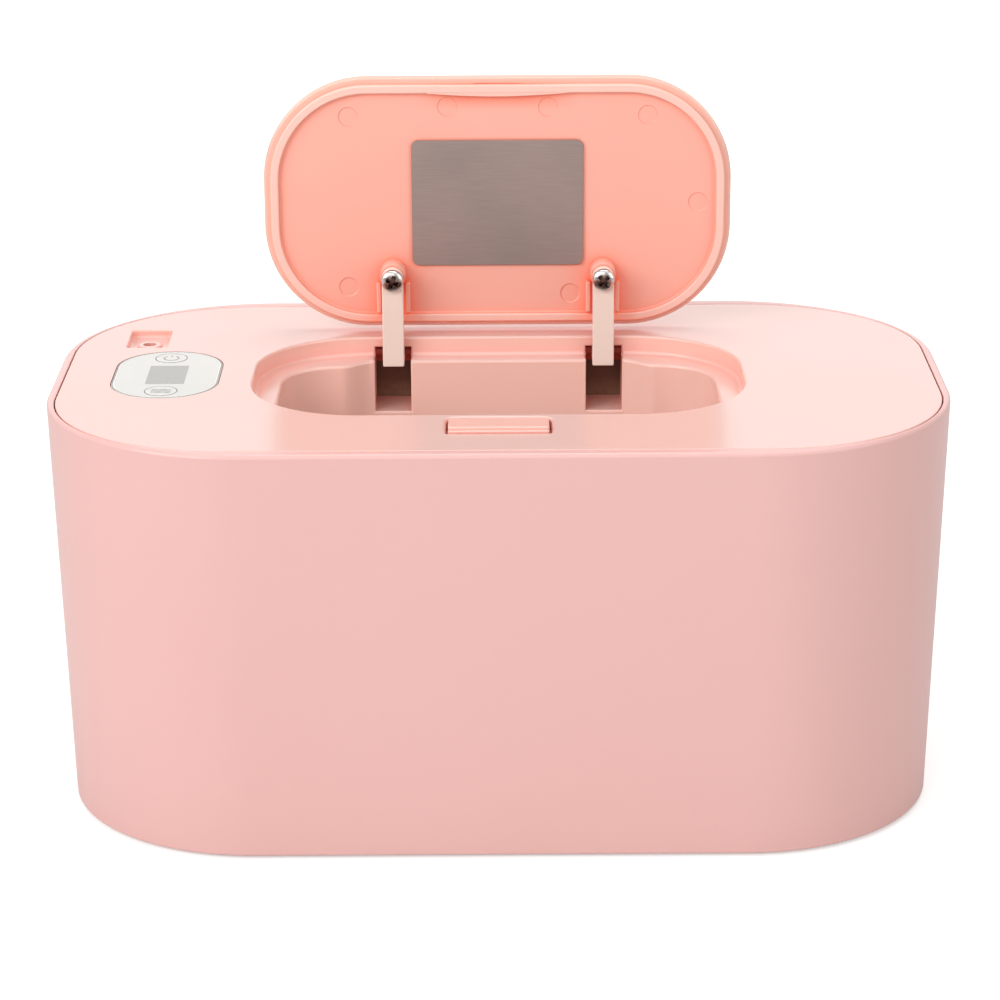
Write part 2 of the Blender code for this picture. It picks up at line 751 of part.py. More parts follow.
def make_inner_tank(parent):
    boss_top = SEAT_UNDER + BASE_BOSS_HEIGHT
    bottom = boss_top + TANK_LIFT
    lowest_inset = TANK_TOP_INSET + TANK_DRAFT
    flange = flat_piece("inner_tank", flat_ring(PLATE_POCKET, GROOVE, 0)[0], FLANGE_UNDER, FLANGE_TOP)
    tub = loft(
        "tank_tub",
        [
            flat_ring(PLATE_POCKET, lowest_inset + TANK_WALL, bottom),
            flat_ring(PLATE_POCKET, lowest_inset, bottom + TANK_WALL),
            flat_ring(PLATE_POCKET, TANK_TOP_INSET, FLANGE_TOP - TANK_FLANGE / 2),
        ],
    )
    hollow = loft(
        "tank_hollow",
        [
            flat_ring(PLATE_POCKET, lowest_inset + 2 * TANK_WALL, bottom + TANK_WALL),
            flat_ring(PLATE_POCKET, lowest_inset + TANK_WALL, bottom + 2 * TANK_WALL),
            flat_ring(PLATE_POCKET, TANK_TOP_INSET + TANK_WALL, FLANGE_TOP + OVERRUN),
        ],
    )
    join(flange, tub)
    cut(flange, hollow)
    return finish(flange, "white_tank", parent)


def cover_screw_places():
    """Four places in the skirt's corners and two along its front, each beside the skirt's wall."""
    inset = SKIRT_INSET + SKIRT_WALL
    corner = PLATE_CORNER - inset
    centre_x = POCKET_WIDTH / 2 - PLATE_CORNER
    centre_y = POCKET_DEPTH / 2 - PLATE_CORNER
    reach = corner - COVER_BOSS_RADIUS + COVER_BOSS_INTO_SKIRT
    angle = math.radians(60)
    x = centre_x + reach * math.cos(angle)
    y = centre_y + reach * math.sin(angle)
    front = POCKET_CENTRE[1] - (centre_y + reach)
    places = [(side_x * x, POCKET_CENTRE[1] + side_y * y) for side_y in (1, -1) for side_x in (-1, 1)]
    return places + [(-FRONT_SCREW_X, front), (FRONT_SCREW_X, front)]


COVER_SCREW_PLACES = cover_screw_places()


def add_hinge_pockets(cover):
    """The two walled pockets behind the recess, the slots into them and the shaft's bores."""
    neck_outer = RECESS_CENTRE_Y + WELL_MID_DEPTH / 2 + NECK_WALL
    floor = TOP - SLOT_FLOOR_SINK
    half = SLOT_WIDTH / 2
    relief_start = RECESS_REAR + RECESS_WALL + GROOVE
    for side, label in ((-1, "left"), (1, "right")):
        x = side * HINGE_X
        wall = half + POCKET_WALL
        block = box(
            f"hinge_pocket_{label}",
            (x - wall, neck_outer - NECK_WALL / 2, floor - POCKET_WALL),
            (x + wall, POCKET_REAR, PLATE_UNDER + PLATE / 2),
        )
        join(cover, block)
    for side, label in ((-1, "left"), (1, "right")):
        x = side * HINGE_X
        slot = box(
            f"hinge_slot_{label}",
            (x - half, neck_outer - 2 * NECK_WALL, floor),
            (x + half, POCKET_REAR + OVERRUN, TOP - SLOT_TOP_SINK),
        )
        relief = box(
            f"hinge_relief_{label}",
            (x - half, relief_start, SHAFT_Z),
            (x + half, POCKET_REAR + OVERRUN, TOP - POCKET_ROOF),
        )
        reach = half + POCKET_WALL + OVERRUN
        bore = rod(f"shaft_bore_{label}", SHAFT_RADIUS + SEAT_GAP, x - reach, x + reach, SHAFT_Y, SHAFT_Z)
        cut(cover, slot, relief, bore)


def add_cover_bosses(cover):
    top = PLATE_UNDER + PLATE / 2
    for number, (x, y) in enumerate(COVER_SCREW_PLACES, 1):
        name = f"cover_boss_{number}"
        join(cover, cylinder(name, COVER_BOSS_RADIUS, SKIRT_END, top, x, y, SCREW_SIDES))
    radius = COVER_SCREW_SHANK + SEAT_GAP
    bottom = SKIRT_END - OVERRUN
    for number, (x, y) in enumerate(COVER_SCREW_PLACES, 1):
        name = f"cover_bore_{number}"
        cut(cover, cylinder(name, radius, bottom, SKIRT_END + COVER_BORE, x, y, SCREW_SIDES))


def board_screw_places():
    x = BOARD_WIDTH / 2 - BOARD_HOLE_INSET
    y = BOARD_DEPTH / 2 - BOARD_HOLE_INSET
    return [(LENS_X + x, LENS_CENTRE_Y - y), (LENS_X - x, LENS_CENTRE_Y - y)]


def add_panel_seat(cover):
    """The lens pocket, the display window and the board's bosses."""
    bottom = TOP - LENS - SEAT_GAP
    seat = flat_piece(
        "lens_seat",
        rounded(LENS_WIDTH, LENS_DEPTH, LENS_CORNER, (LENS_X, LENS_CENTRE_Y), -LENS_MARGIN),
        bottom,
        TOP + OVERRUN,
    )
    half_x = DISPLAY_WIDTH / 2 + SEAT_GAP
    half_y = DISPLAY_DEPTH / 2 + SEAT_GAP
    window = box(
        "display_window",
        (LENS_X - half_x, LENS_CENTRE_Y - half_y, PLATE_UNDER - OVERRUN),
        (LENS_X + half_x, LENS_CENTRE_Y + half_y, bottom + OVERRUN),
    )
    board_top = TOP - LENS - SEAT_GAP - DISPLAY_HEIGHT - SEAT_GAP
    boss_end = board_top + SEAT_GAP
    boss_top = bottom - (PLATE - LENS) / 4
    for number, (x, y) in enumerate(board_screw_places(), 1):
        name = f"board_boss_{number}"
        join(cover, cylinder(name, BOARD_BOSS_RADIUS, boss_end, boss_top, x, y, SCREW_SIDES))
    radius = BOARD_SCREW_SHANK + SEAT_GAP
    for number, (x, y) in enumerate(board_screw_places(), 1):
        name = f"board_bore_{number}"
        cut(cover, cylinder(name, radius, boss_end - OVERRUN, PLATE_UNDER, x, y, SCREW_SIDES))
    cut(cover, seat, window)
    return board_top


def inlet_box(name, margin, bottom, top):
    outline = rounded(INLET_WIDTH, INLET_DEPTH, INLET_CORNER, (INLET_X, INLET_Y), -margin)
    return flat_piece(name, outline, bottom, top)


def make_top_cover(parent):
    plate = loft(
        "top_cover",
        [flat_ring(PLATE_POCKET, GROOVE, PLATE_UNDER), flat_ring(PLATE_POCKET, GROOVE, TOP)],
    )
    skirt_outer = flat_ring(PLATE_POCKET, SKIRT_INSET, 0)[0]
    skirt_inner = flat_ring(PLATE_POCKET, SKIRT_INSET + SKIRT_WALL, 0)[0]
    skirt = flat_piece("cover_skirt", skirt_outer, SKIRT_END, PLATE_UNDER + PLATE / 2)
    cut(skirt, flat_piece("skirt_hollow", skirt_inner, SKIRT_END - OVERRUN, PLATE_UNDER + PLATE))
    ledge_under = LEDGE_LEVEL - LEDGE_PLATE
    bowl = flat_piece(
        "recess_bowl", flat_ring(RECESS, -RECESS_WALL, 0)[0], ledge_under, PLATE_UNDER + PLATE / 2
    )
    neck = flat_piece("well_neck", well(-NECK_WALL), TOP - NECK_SINK, ledge_under + LEDGE_PLATE / 2)
    inlet_floor = TOP - INLET_SINK
    inlet_under = inlet_floor - INLET_FLOOR
    inlet = inlet_box("inlet_block", INLET_WALL, inlet_under, PLATE_UNDER + PLATE / 2)
    boolean(inlet, flat_piece("inlet_limit", skirt_outer, inlet_under - OVERRUN, TOP), "INTERSECT")
    join(plate, skirt, bowl, neck, inlet)
    add_cover_bosses(plate)
    add_hinge_pockets(plate)
    recess = loft(
        "recess_cut",
        [
            flat_ring(RECESS, 0, LEDGE_LEVEL),
            flat_ring(RECESS, 0, TOP - RECESS_ROUND),
            flat_ring(RECESS, -RECESS_ROUND, TOP),
            flat_ring(RECESS, -RECESS_ROUND, TOP + OVERRUN),
        ],
    )
    well_cut = flat_piece("well_cut", well(), TOP - NECK_SINK - OVERRUN, LEDGE_LEVEL + OVERRUN)
    inlet_cut = inlet_box("inlet_cut", 0, inlet_floor, TOP + OVERRUN)
    jack_hole = cylinder(
        "jack_hole", JACK_HOLE_RADIUS, inlet_under - OVERRUN, inlet_floor + OVERRUN, INLET_X, JACK_Y
    )
    button_slot = flat_piece(
        "button_slot",
        rounded(
            BUTTON_SLOT_WIDTH,
            BUTTON_SLOT_DEPTH,
            BUTTON_REAR_CORNER,
            (0, BUTTON_Y),
            front_corner=BUTTON_FRONT_CORNER,
        ),
        PLATE_UNDER - OVERRUN,
        TOP + OVERRUN,
    )
    half_window = HOOK_WIDTH / 2 + HOOK_WINDOW_MARGIN
    window_bottom = PLATE_UNDER - SEAT_GAP - BUTTON_FLANGE - BUTTON_TRAVEL - HOOK_WINDOW_MARGIN
    hook_window = box(
        "hook_window",
        (-half_window, RECESS_FRONT - RECESS_WALL - OVERRUN, window_bottom),
        (half_window, LID_FRONT, PLATE_UNDER),
    )
    cut(plate, recess, well_cut, inlet_cut, jack_hole, button_slot, hook_window)
    board_top = add_panel_seat(plate)
    finish(plate, "pink_cover", parent)
    return board_top


def make_hinge_shaft(parent):
    end = HINGE_X + SLOT_WIDTH / 2 + POCKET_WALL + SHAFT_END
    finish(rod("hinge_shaft", SHAFT_RADIUS, -end, end, SHAFT_Y, SHAFT_Z), "steel", parent)
    for side, label in ((-1, "left"), (1, "right")):
        half = SLOT_WIDTH / 2 + POCKET_WALL
        backing = box(
            f"slot_backing_{label}",
            (side * HINGE_X - half, POCKET_REAR + SEAT_GAP, TOP - SLOT_FLOOR_SINK - POCKET_WALL),
            (side * HINGE_X + half, POCKET_REAR + SEAT_GAP + BACKING, PLATE_UNDER - SEAT_GAP),
        )
        finish(backing, "dark_plastic", parent)


def sensor_places():
    x = -(WELL_LENGTH / 2 + NECK_WALL + SENSOR_FROM_NECK)
    return (x, SENSOR_SPACING / 2), (x, -SENSOR_SPACING / 2)


def sensor_window(name, x, y, length, radius):
    half_x = length / 2 + SENSOR_WINDOW_MARGIN
    half_y = radius + SENSOR_WINDOW_MARGIN
    low = (x - half_x, y - half_y, UNDER_BOTTOM - OVERRUN)
    high = (x + half_x, y + half_y, UNDER_TOP + OVERRUN)
    return box(name, low, high)


def make_under_cover(parent):
    outline = flat_ring(PLATE_POCKET, SKIRT_INSET, 0)[0]
    pan = flat_piece("under_cover", outline, UNDER_BOTTOM, UNDER_TOP)
    spring_foot = PLATE_UNDER - SEAT_GAP - BUTTON_FLANGE - SEAT_GAP - SPRING_LENGTH
    seat_top = spring_foot - SEAT_GAP
    seat_bottom = UNDER_BOTTOM + UNDER_COVER / 2
    seat = cylinder("spring_seat", SEAT_RADIUS, seat_bottom, seat_top, 0, BUTTON_Y, SCREW_SIDES)
    stub_top = spring_foot + POST_LENGTH / 2
    stub = cylinder("spring_stub", POST_RADIUS, seat_top - OVERRUN, stub_top, 0, BUTTON_Y)
    join(pan, seat, stub)
    below = UNDER_BOTTOM - OVERRUN
    above = UNDER_TOP + OVERRUN
    cut(pan, flat_piece("under_opening", well(-NECK_WALL - GROOVE), below, above))
    radius = COVER_SCREW_SHANK + SEAT_GAP
    for number, (x, y) in enumerate(COVER_SCREW_PLACES, 1):
        cut(pan, cylinder(f"under_hole_{number}", radius, below, above, x, y, SCREW_SIDES))
        screw(
            f"cover_screw_{number}",
            COVER_SCREW_HEAD,
            COVER_SCREW_HEAD_HEIGHT,
            COVER_SCREW_SHANK,
            COVER_SCREW_LENGTH,
            x,
            y,
            UNDER_BOTTOM - SEAT_GAP,
            parent,
        )
    fuse, bead = sensor_places()
    cut(pan, sensor_window("fuse_window", *fuse, FUSE_LENGTH, FUSE_RADIUS))
    cut(pan, sensor_window("bead_window", *bead, BEAD_LENGTH, BEAD_RADIUS))
    finish(pan, "white_tank", parent)
    return spring_foot


def make_heater(parent):
    centre = POCKET_CENTRE
    opening = NECK_WALL + GROOVE + SEAT_GAP
    plate_outline = rounded(HEATER_WIDTH, HEATER_DEPTH, HEATER_CORNER, centre)
    plate = flat_piece("heater_plate", plate_outline, HEATER_BOTTOM, HEATER_TOP)
    below = HEATER_BOTTOM - OVERRUN
    cut(plate, flat_piece("heater_opening", well(-opening), below, HEATER_TOP + OVERRUN))
    finish(plate, "aluminium", parent)
    film_outline = rounded(HEATER_WIDTH, HEATER_DEPTH, HEATER_CORNER, centre, FILM_INSET)
    film = flat_piece("heating_film", film_outline, FILM_BOTTOM, FILM_TOP)
    film_opening = well(-opening - FILM_INSET)
    cut(film, flat_piece("film_opening", film_opening, FILM_BOTTOM - OVERRUN, FILM_TOP + OVERRUN))
    finish(film, "copper_film", parent)


def make_sensors(parent):
    """The thermal fuse and the thermistor bead, which lie on the film in the pan's windows."""
    (fuse_x, fuse_y), (bead_x, bead_y) = sensor_places()
    fuse_z = FILM_TOP + SEAT_GAP + FUSE_RADIUS
    half = FUSE_LENGTH / 2
    fuse = rod("thermal_fuse", FUSE_RADIUS, fuse_x - half, fuse_x + half, fuse_y, fuse_z, SCREW_SIDES)
    finish(fuse, "steel", parent)
    bead_z = FILM_TOP + SEAT_GAP + BEAD_RADIUS
    half = BEAD_LENGTH / 2
    bead = rod("thermistor", BEAD_RADIUS, bead_x - half, bead_x + half, bead_y, bead_z, SCREW_SIDES)
    finish(bead, "black_plastic", parent)
    return fuse_z, bead_z


def make_panel(parent, board_top):
    outline = rounded(LENS_WIDTH, LENS_DEPTH, LENS_CORNER, (LENS_X, LENS_CENTRE_Y))
    lens = flat_piece("panel_lens", outline, TOP - LENS, TOP)
    finish(lens, "clear_panel", parent)
    half_x = DISPLAY_WIDTH / 2
    half_y = DISPLAY_DEPTH / 2
    display_bottom = board_top + SEAT_GAP
    display = box(
        "display_module",
        (LENS_X - half_x, LENS_CENTRE_Y - half_y, display_bottom),
        (LENS_X + half_x, LENS_CENTRE_Y + half_y, display_bottom + DISPLAY_HEIGHT),
    )
    finish(display, "display_glass", parent)
    for name, y in (("touch_pad_rear", TOUCH_SPACING), ("touch_pad_front", -TOUCH_SPACING)):
        pad = cylinder(
            name,
            TOUCH_RADIUS,
            board_top + SEAT_GAP,
            PLATE_UNDER - SEAT_GAP,
            LENS_X,
            LENS_CENTRE_Y + y,
            SCREW_SIDES,
        )
        finish(pad, "foam", parent)
    make_board(parent, board_top)


def make_board(parent, board_top):
    """The control board with its two largest components, and the screws that hold it."""
    chip_share = 0.3
    chip_height = BOARD
    half_x = BOARD_WIDTH / 2
    half_y = BOARD_DEPTH / 2
    bottom = board_top - BOARD
    board = box(
        "control_board",
        (LENS_X - half_x, LENS_CENTRE_Y - half_y, bottom),
        (LENS_X + half_x, LENS_CENTRE_Y + half_y, board_top),
    )
    for number, side in ((1, -1), (2, 1)):
        x = LENS_X - half_x * chip_share
        y = LENS_CENTRE_Y + side * half_y * chip_share
        size = half_x * chip_share
        chip = box(
            f"board_chip_{number}",
            (x - size, y - size, bottom - chip_height),
            (x + size, y + size, bottom + BOARD / 2),
        )
        join(board, chip)
    for number, (x, y) in enumerate(board_screw_places(), 1):
        hole = cylinder(
            f"board_hole_{number}",
            BOARD_SCREW_SHANK + SEAT_GAP,
            bottom - OVERRUN,
            board_top + OVERRUN,
            x,
            y,
            SCREW_SIDES,
        )
        cut(board, hole)
        screw(
            f"board_screw_{number}",
            BOARD_SCREW_HEAD,
            BOARD_SCREW_HEAD_HEIGHT,
            BOARD_SCREW_SHANK,
            BOARD_SCREW_LENGTH,
            x,
            y,
            bottom - SEAT_GAP,
            parent,
        )
    finish(board, "green_board", parent)


def make_jack(parent):
    top = TOP - INLET_SINK - INLET_FLOOR - SEAT_GAP
    half_x = JACK_WIDTH / 2
    half_y = JACK_DEPTH / 2
    jack = box(
        "power_jack",
        (INLET_X - half_x, JACK_Y - half_y, top - JACK_HEIGHT),
        (INLET_X + half_x, JACK_Y + half_y, top),
    )
    bottom = top - JACK_BORE_SINK
    socket = cylinder("jack_socket", JACK_BORE, bottom, top + OVERRUN, INLET_X, JACK_Y)
    pin_ends = (bottom - OVERRUN, top - OVERRUN)
    pin = cylinder("jack_pin", JACK_PIN, *pin_ends, INLET_X, JACK_Y, SCREW_SIDES)
    cut(jack, socket)
    join(jack, pin)
    finish(jack, "black_plastic", parent)
    return top - JACK_HEIGHT


def make_leads(parent, board_top, jack_bottom, fuse_z, bead_z):
    """Leads from the jack and the sensors to the underside of the control board."""
    (fuse_x, fuse_y), (bead_x, bead_y) = sensor_places()
    board_end = board_top - BOARD - SEAT_GAP
    edge_y = BOARD_DEPTH / 2 - BOARD_HOLE_INSET
    low = jack_bottom - JACK_HEIGHT / 4
    mid = (board_end + UNDER_TOP) / 2
    bend = JACK_DEPTH / 2
    jack_route = [
        (INLET_X, JACK_Y, jack_bottom - SEAT_GAP),
        (INLET_X, JACK_Y - bend / 4, low),
        (INLET_X, JACK_Y - bend * 2, low),
        (INLET_X, LENS_CENTRE_Y + edge_y + bend / 4, low),
        (INLET_X, LENS_CENTRE_Y + edge_y, board_end),
    ]
    finish(wire("power_lead", smooth_route(jack_route), LEAD_RADIUS), "lead_red", parent)
    fuse_end = fuse_x - FUSE_LENGTH / 2 - SEAT_GAP
    fuse_route = [
        (fuse_end - bend, fuse_y - bend, board_end),
        (fuse_end - bend, fuse_y - bend, mid),
        (fuse_end - bend / 2, fuse_y, fuse_z + 2 * FUSE_RADIUS),
        (fuse_end - 2 * LEAD_RADIUS, fuse_y, fuse_z),
        (fuse_end, fuse_y, fuse_z),
    ]
    finish(wire("fuse_lead", smooth_route(fuse_route), LEAD_RADIUS), "lead_red", parent)
    bead_end = bead_x - BEAD_LENGTH / 2 - SEAT_GAP
    bead_route = [
        (bead_end - bend, bead_y + bend, board_end),
        (bead_end - bend, bead_y + bend, mid),
        (bead_end - bend / 2, bead_y, bead_z + 3 * BEAD_RADIUS),
        (bead_end - 2 * LEAD_RADIUS, bead_y, bead_z),
        (bead_end, bead_y, bead_z),
    ]
    finish(wire("sensor_lead", smooth_route(bead_route), LEAD_RADIUS), "lead_white", parent)


def make_button(parent):
    outline = rounded(
        BUTTON_SLOT_WIDTH,
        BUTTON_SLOT_DEPTH,
        BUTTON_REAR_CORNER,
        (0, BUTTON_Y),
        BUTTON_SIDE_GAP,
        BUTTON_FRONT_CORNER,
    )
    flange_top = PLATE_UNDER - SEAT_GAP
    flange_under = flange_top - BUTTON_FLANGE
    button = flat_piece("release_button", outline, flange_under, TOP + BUTTON_PROUD)
    half_x = BUTTON_SLOT_WIDTH / 2 + BUTTON_FLANGE_REACH
    half_y = BUTTON_SLOT_DEPTH / 2
    flange = box(
        "button_flange",
        (-half_x, BUTTON_Y - half_y - BUTTON_FLANGE_REACH, flange_under),
        (half_x, BUTTON_Y + half_y - BUTTON_SIDE_GAP, flange_top),
    )
    hook = box(
        "button_hook",
        (-HOOK_WIDTH / 2, BUTTON_Y, flange_under),
        (HOOK_WIDTH / 2, LID_FRONT - SEAT_GAP, flange_top),
    )
    post_end = flange_under - POST_LENGTH
    post = cylinder("button_post", POST_RADIUS, post_end, flange_top, 0, BUTTON_Y, SCREW_SIDES)
    step = box(
        "button_step",
        (-half_x, BUTTON_Y - half_y - OVERRUN, TOP + BUTTON_PROUD - BUTTON_STEP),
        (half_x, BUTTON_Y - half_y + BUTTON_SIDE_GAP + BUTTON_STEP, TOP + BUTTON_PROUD + OVERRUN),
    )
    join(button, flange, hook, post)
    cut(button, step)
    finish(button, "pink_cover", parent)


def make_button_spring(parent, foot):
    """A compression coil round the button's post and the pan's stub."""
    count = SPRING_TURNS * SPRING_POINTS
    climb = SPRING_LENGTH - 2 * SPRING_WIRE
    points = []
    for step in range(count + 1):
        angle = step / SPRING_POINTS * 2 * math.pi
        y = BUTTON_Y + SPRING_RADIUS * math.sin(angle)
        points.append((SPRING_RADIUS * math.cos(angle), y, foot + SPRING_WIRE + climb * step / count))
    finish(wire("button_spring", points, SPRING_WIRE, resolution=0), "steel", parent)


def make_lid_outer(parent):
    band_level = TOP - LID_EDGE
    halfway = LID_ROUND * HALFWAY_SHARE
    cap = loft(
        "lid_outer",
        [
            flat_ring(LID, LID_DRAFT, band_level),
            flat_ring(LID, 0, TOP - LID_ROUND),
            flat_ring(LID, halfway, TOP - halfway),
            flat_ring(LID, LID_ROUND, TOP),
        ],
    )
    pocket = flat_piece(
        "lid_pocket", flat_ring(LID, LID_BAND - SEAT_GAP, 0)[0], band_level - OVERRUN, TOP - LID_SKIN
    )
    cut(cap, pocket)
    finish(cap, "pink_lid", parent)


def lip_outline(y):
    """A crescent: straight along the ring and bulging into the lid."""
    half = LIP_LENGTH / 2
    points = [(half, y), (half, y - RING_WIDTH / 2), (-half, y - RING_WIDTH / 2), (-half, y)]
    for step in range(1, LIP_STEPS):
        share = step / LIP_STEPS
        points.append((LIP_LENGTH * share - half, y + LIP_BULGE * math.sin(share * math.pi)))
    return list(reversed(points))


def make_lid_inner(parent):
    """The liner: floor, ring, the bosses that the arms are screwed to, their ribs and the lip."""
    back = TOP - LID_SKIN - SEAT_GAP
    face = back - LINER
    ring_face = TOP - LID_EDGE - RING_PROUD
    arm_back = SHAFT_Z - ARM_OFFSET
    liner = flat_piece("lid_inner", flat_ring(LID, LID_BAND, 0)[0], ring_face, back)
    inside = flat_ring(LID, LID_BAND + RING_WIDTH, 0)[0]
    cut(liner, flat_piece("liner_hollow", inside, ring_face - OVERRUN, face))
    lip_y = LID_FRONT + LID_BAND + RING_WIDTH
    join(liner, flat_piece("front_lip", lip_outline(lip_y), ring_face, face + LINER / 2))
    half_catch = CATCH_LENGTH / 2
    catch = box(
        "catch_notch",
        (-half_catch, LID_FRONT, ring_face - OVERRUN),
        (half_catch, LID_FRONT + LID_BAND + CATCH_DEPTH, TOP - LID_EDGE),
    )
    cut(liner, catch)
    screw_y = SHAFT_Y - ARM_REACH
    boss_ends = (arm_back + SEAT_GAP, face + LINER / 2)
    for side, label in ((-1, "left"), (1, "right")):
        x = side * ARM_X
        name = f"arm_boss_{label}"
        join(liner, cylinder(name, ARM_BOSS_RADIUS, *boss_ends, x, screw_y, SCREW_SIDES))
        for end in (-1, 1):
            low_x = x + end * (RIB_CHANNEL + RIB) / 2 - RIB / 2
            rear = LID_REAR - RIB_FROM_EDGE
            rib = box(
                f"arm_rib_{label}_{end + 2}",
                (low_x, rear - RIB_LENGTH, face - RIB_HEIGHT),
                (low_x + RIB, rear, face + LINER / 2),
            )
            join(liner, rib)
    radius = ARM_SCREW_SHANK + SEAT_GAP
    bore_ends = (arm_back - OVERRUN, face + LINER / 4)
    for side, label in ((-1, "left"), (1, "right")):
        name = f"arm_bore_{label}"
        cut(liner, cylinder(name, radius, *bore_ends, side * ARM_X, screw_y, SCREW_SIDES))
    finish(liner, "pink_liner", parent)
    label_top = face - SEAT_GAP
    plate = flat_piece(
        "label_plate",
        rounded(LABEL_WIDTH, LABEL_DEPTH, LABEL_CORNER, (0, LID_CENTRE_Y - LABEL_FORWARD)),
        label_top - LABEL,
        label_top,
    )
    finish(plate, "silver_label", parent)


def make_arm(parent, side, label):
    """A hooked arm: a strip under the lid, a foot behind the shaft and a barrel round it."""
    x = side * ARM_X
    half = ARM_WIDTH / 2
    top = SHAFT_Z - ARM_OFFSET
    bottom = top - ARM_THICKNESS
    front = SHAFT_Y - ARM_REACH - ARM_END
    rear = SHAFT_Y + ARM_TAIL
    length = rear - front
    outline = rounded(ARM_WIDTH, length, SHARPEST, (x, (front + rear) / 2), front_corner=half)
    arm = flat_piece(f"hinge_arm_{label}", outline, bottom, top)
    foot = box(f"arm_foot_{label}", (x - half, rear - ARM_THICKNESS, bottom), (x + half, rear, SHAFT_Z))
    barrel = rod(f"arm_barrel_{label}", BARREL_RADIUS, x - half, x + half, SHAFT_Y, SHAFT_Z)
    reach = half + OVERRUN
    bore = rod(f"arm_pivot_bore_{label}", SHAFT_RADIUS + SEAT_GAP, x - reach, x + reach, SHAFT_Y, SHAFT_Z)
    screw_y = SHAFT_Y - ARM_REACH
    hole = cylinder(
        f"arm_hole_{label}",
        ARM_SCREW_SHANK + SEAT_GAP,
        bottom - OVERRUN,
        top + OVERRUN,
        x,
        screw_y,
        SCREW_SIDES,
    )
    join(arm, foot, barrel)
    cut(arm, bore, hole)
    finish(arm, "natural_nylon", parent)
    screw(
        f"arm_screw_{label}",
        ARM_SCREW_HEAD,
        ARM_SCREW_HEAD_HEIGHT,
        ARM_SCREW_SHANK,
        ARM_SCREW_LENGTH,
        x,
        screw_y,
        bottom - SEAT_GAP,
        parent,
    )


def main():
    base = body("base")
    cover = body("cover")
    button = body("button", (0, BUTTON_Y, TOP))
    lid = body("lid", (0, SHAFT_Y, SHAFT_Z))
    make_outer_shell(base)
    make_base(base)
    make_inner_tank(base)
    board_top = make_top_cover(cover)
    make_hinge_shaft(cover)
    spring_foot = make_under_cover(cover)
    make_heater(cover)
    fuse_z, bead_z = make_sensors(cover)
    make_panel(cover, board_top)
    jack_bottom = make_jack(cover)
    make_leads(cover, board_top, jack_bottom, fuse_z, bead_z)
    make_button_spring(cover, spring_foot)
    make_button(button)
    make_lid_outer(lid)
    make_lid_inner(lid)
    make_arm(lid, -1, "left")
    make_arm(lid, 1, "right")
    lid.rotation_euler.x = -LID_SWING


main()
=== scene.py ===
"""The finished look of the baby wipe warmer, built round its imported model.

Metres, +Z up, -Y is the front. Each visible node is rebuilt here with fine edges and rounds from the
same sizes. The lid's pieces are shaped shut and then swung up about the hinge shaft.
"""

import json
import math
from functools import cached_property

import bmesh
import bpy
from mathutils import Matrix, Vector

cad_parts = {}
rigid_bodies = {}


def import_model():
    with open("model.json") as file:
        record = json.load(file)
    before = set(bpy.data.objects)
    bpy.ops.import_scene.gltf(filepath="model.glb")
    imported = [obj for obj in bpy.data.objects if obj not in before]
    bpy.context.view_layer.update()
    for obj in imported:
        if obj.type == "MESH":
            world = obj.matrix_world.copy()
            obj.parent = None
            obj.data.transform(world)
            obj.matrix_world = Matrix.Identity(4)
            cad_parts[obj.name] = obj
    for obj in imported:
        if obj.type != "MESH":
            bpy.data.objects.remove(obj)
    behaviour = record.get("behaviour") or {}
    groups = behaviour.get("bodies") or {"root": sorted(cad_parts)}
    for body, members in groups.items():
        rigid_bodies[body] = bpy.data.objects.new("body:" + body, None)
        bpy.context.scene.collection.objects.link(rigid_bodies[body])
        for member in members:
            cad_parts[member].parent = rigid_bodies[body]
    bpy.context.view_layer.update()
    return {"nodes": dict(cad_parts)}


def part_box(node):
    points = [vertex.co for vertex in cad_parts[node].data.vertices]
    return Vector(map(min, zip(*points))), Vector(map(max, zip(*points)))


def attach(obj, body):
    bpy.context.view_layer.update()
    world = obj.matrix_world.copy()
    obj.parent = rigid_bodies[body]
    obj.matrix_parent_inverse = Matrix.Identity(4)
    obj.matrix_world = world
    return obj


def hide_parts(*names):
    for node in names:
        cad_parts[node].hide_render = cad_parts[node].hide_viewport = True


for startup_object in list(bpy.data.objects):
    bpy.data.objects.remove(startup_object, do_unlink=True)

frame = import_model()

# Clearances
SEAT_GAP = 0.0003
GROOVE = 0.0003
OVERRUN = 0.001
WELD = 0.000002
SHARPEST = 0.0002

# Outer shell
SHELL_LOW, SHELL_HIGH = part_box("outer_shell")
BODY_WIDTH = SHELL_HIGH.x - SHELL_LOW.x
BODY_DEPTH = SHELL_HIGH.y - SHELL_LOW.y
SHELL_BOTTOM = SHELL_LOW.z
TOP = SHELL_HIGH.z
BODY_CORNER = 0.0515
BODY_DRAFT = 0.0029
SHELL_WALL = 0.0025
RIM_ROUND = 0.0012
RIM_INNER_ROUND = 0.0003
BOTTOM_ROUND = 0.0006
PLATE_CORNER = 0.045
PLATE_WIDTH = 0.2206
PLATE_DEPTH = 0.129
PLATE_CENTRE_Y = -0.0005
LEDGE_WIDTH = 0.003
LEDGE_THICKNESS = 0.003

# Base plate, its screws and the feet
BASE_PLATE = 0.003
BASE_WALL = 0.0022
BASE_SEAT = 0.006
BASE_SEAT_THICKNESS = 0.002
BASE_BOSS_HEIGHT = 0.006
BASE_BOSS_RADIUS = 0.0036
BASE_HEAD_SINK = 0.0018
FOOT_POCKET = 0.001
FOOT_ROUND = 0.0003

# Inner tank
TANK_WALL = 0.0018
TANK_FLANGE = 0.0018
TANK_LIFT = 0.0007
TANK_DRAFT = 0.0038
TANK_ROUND = 0.004

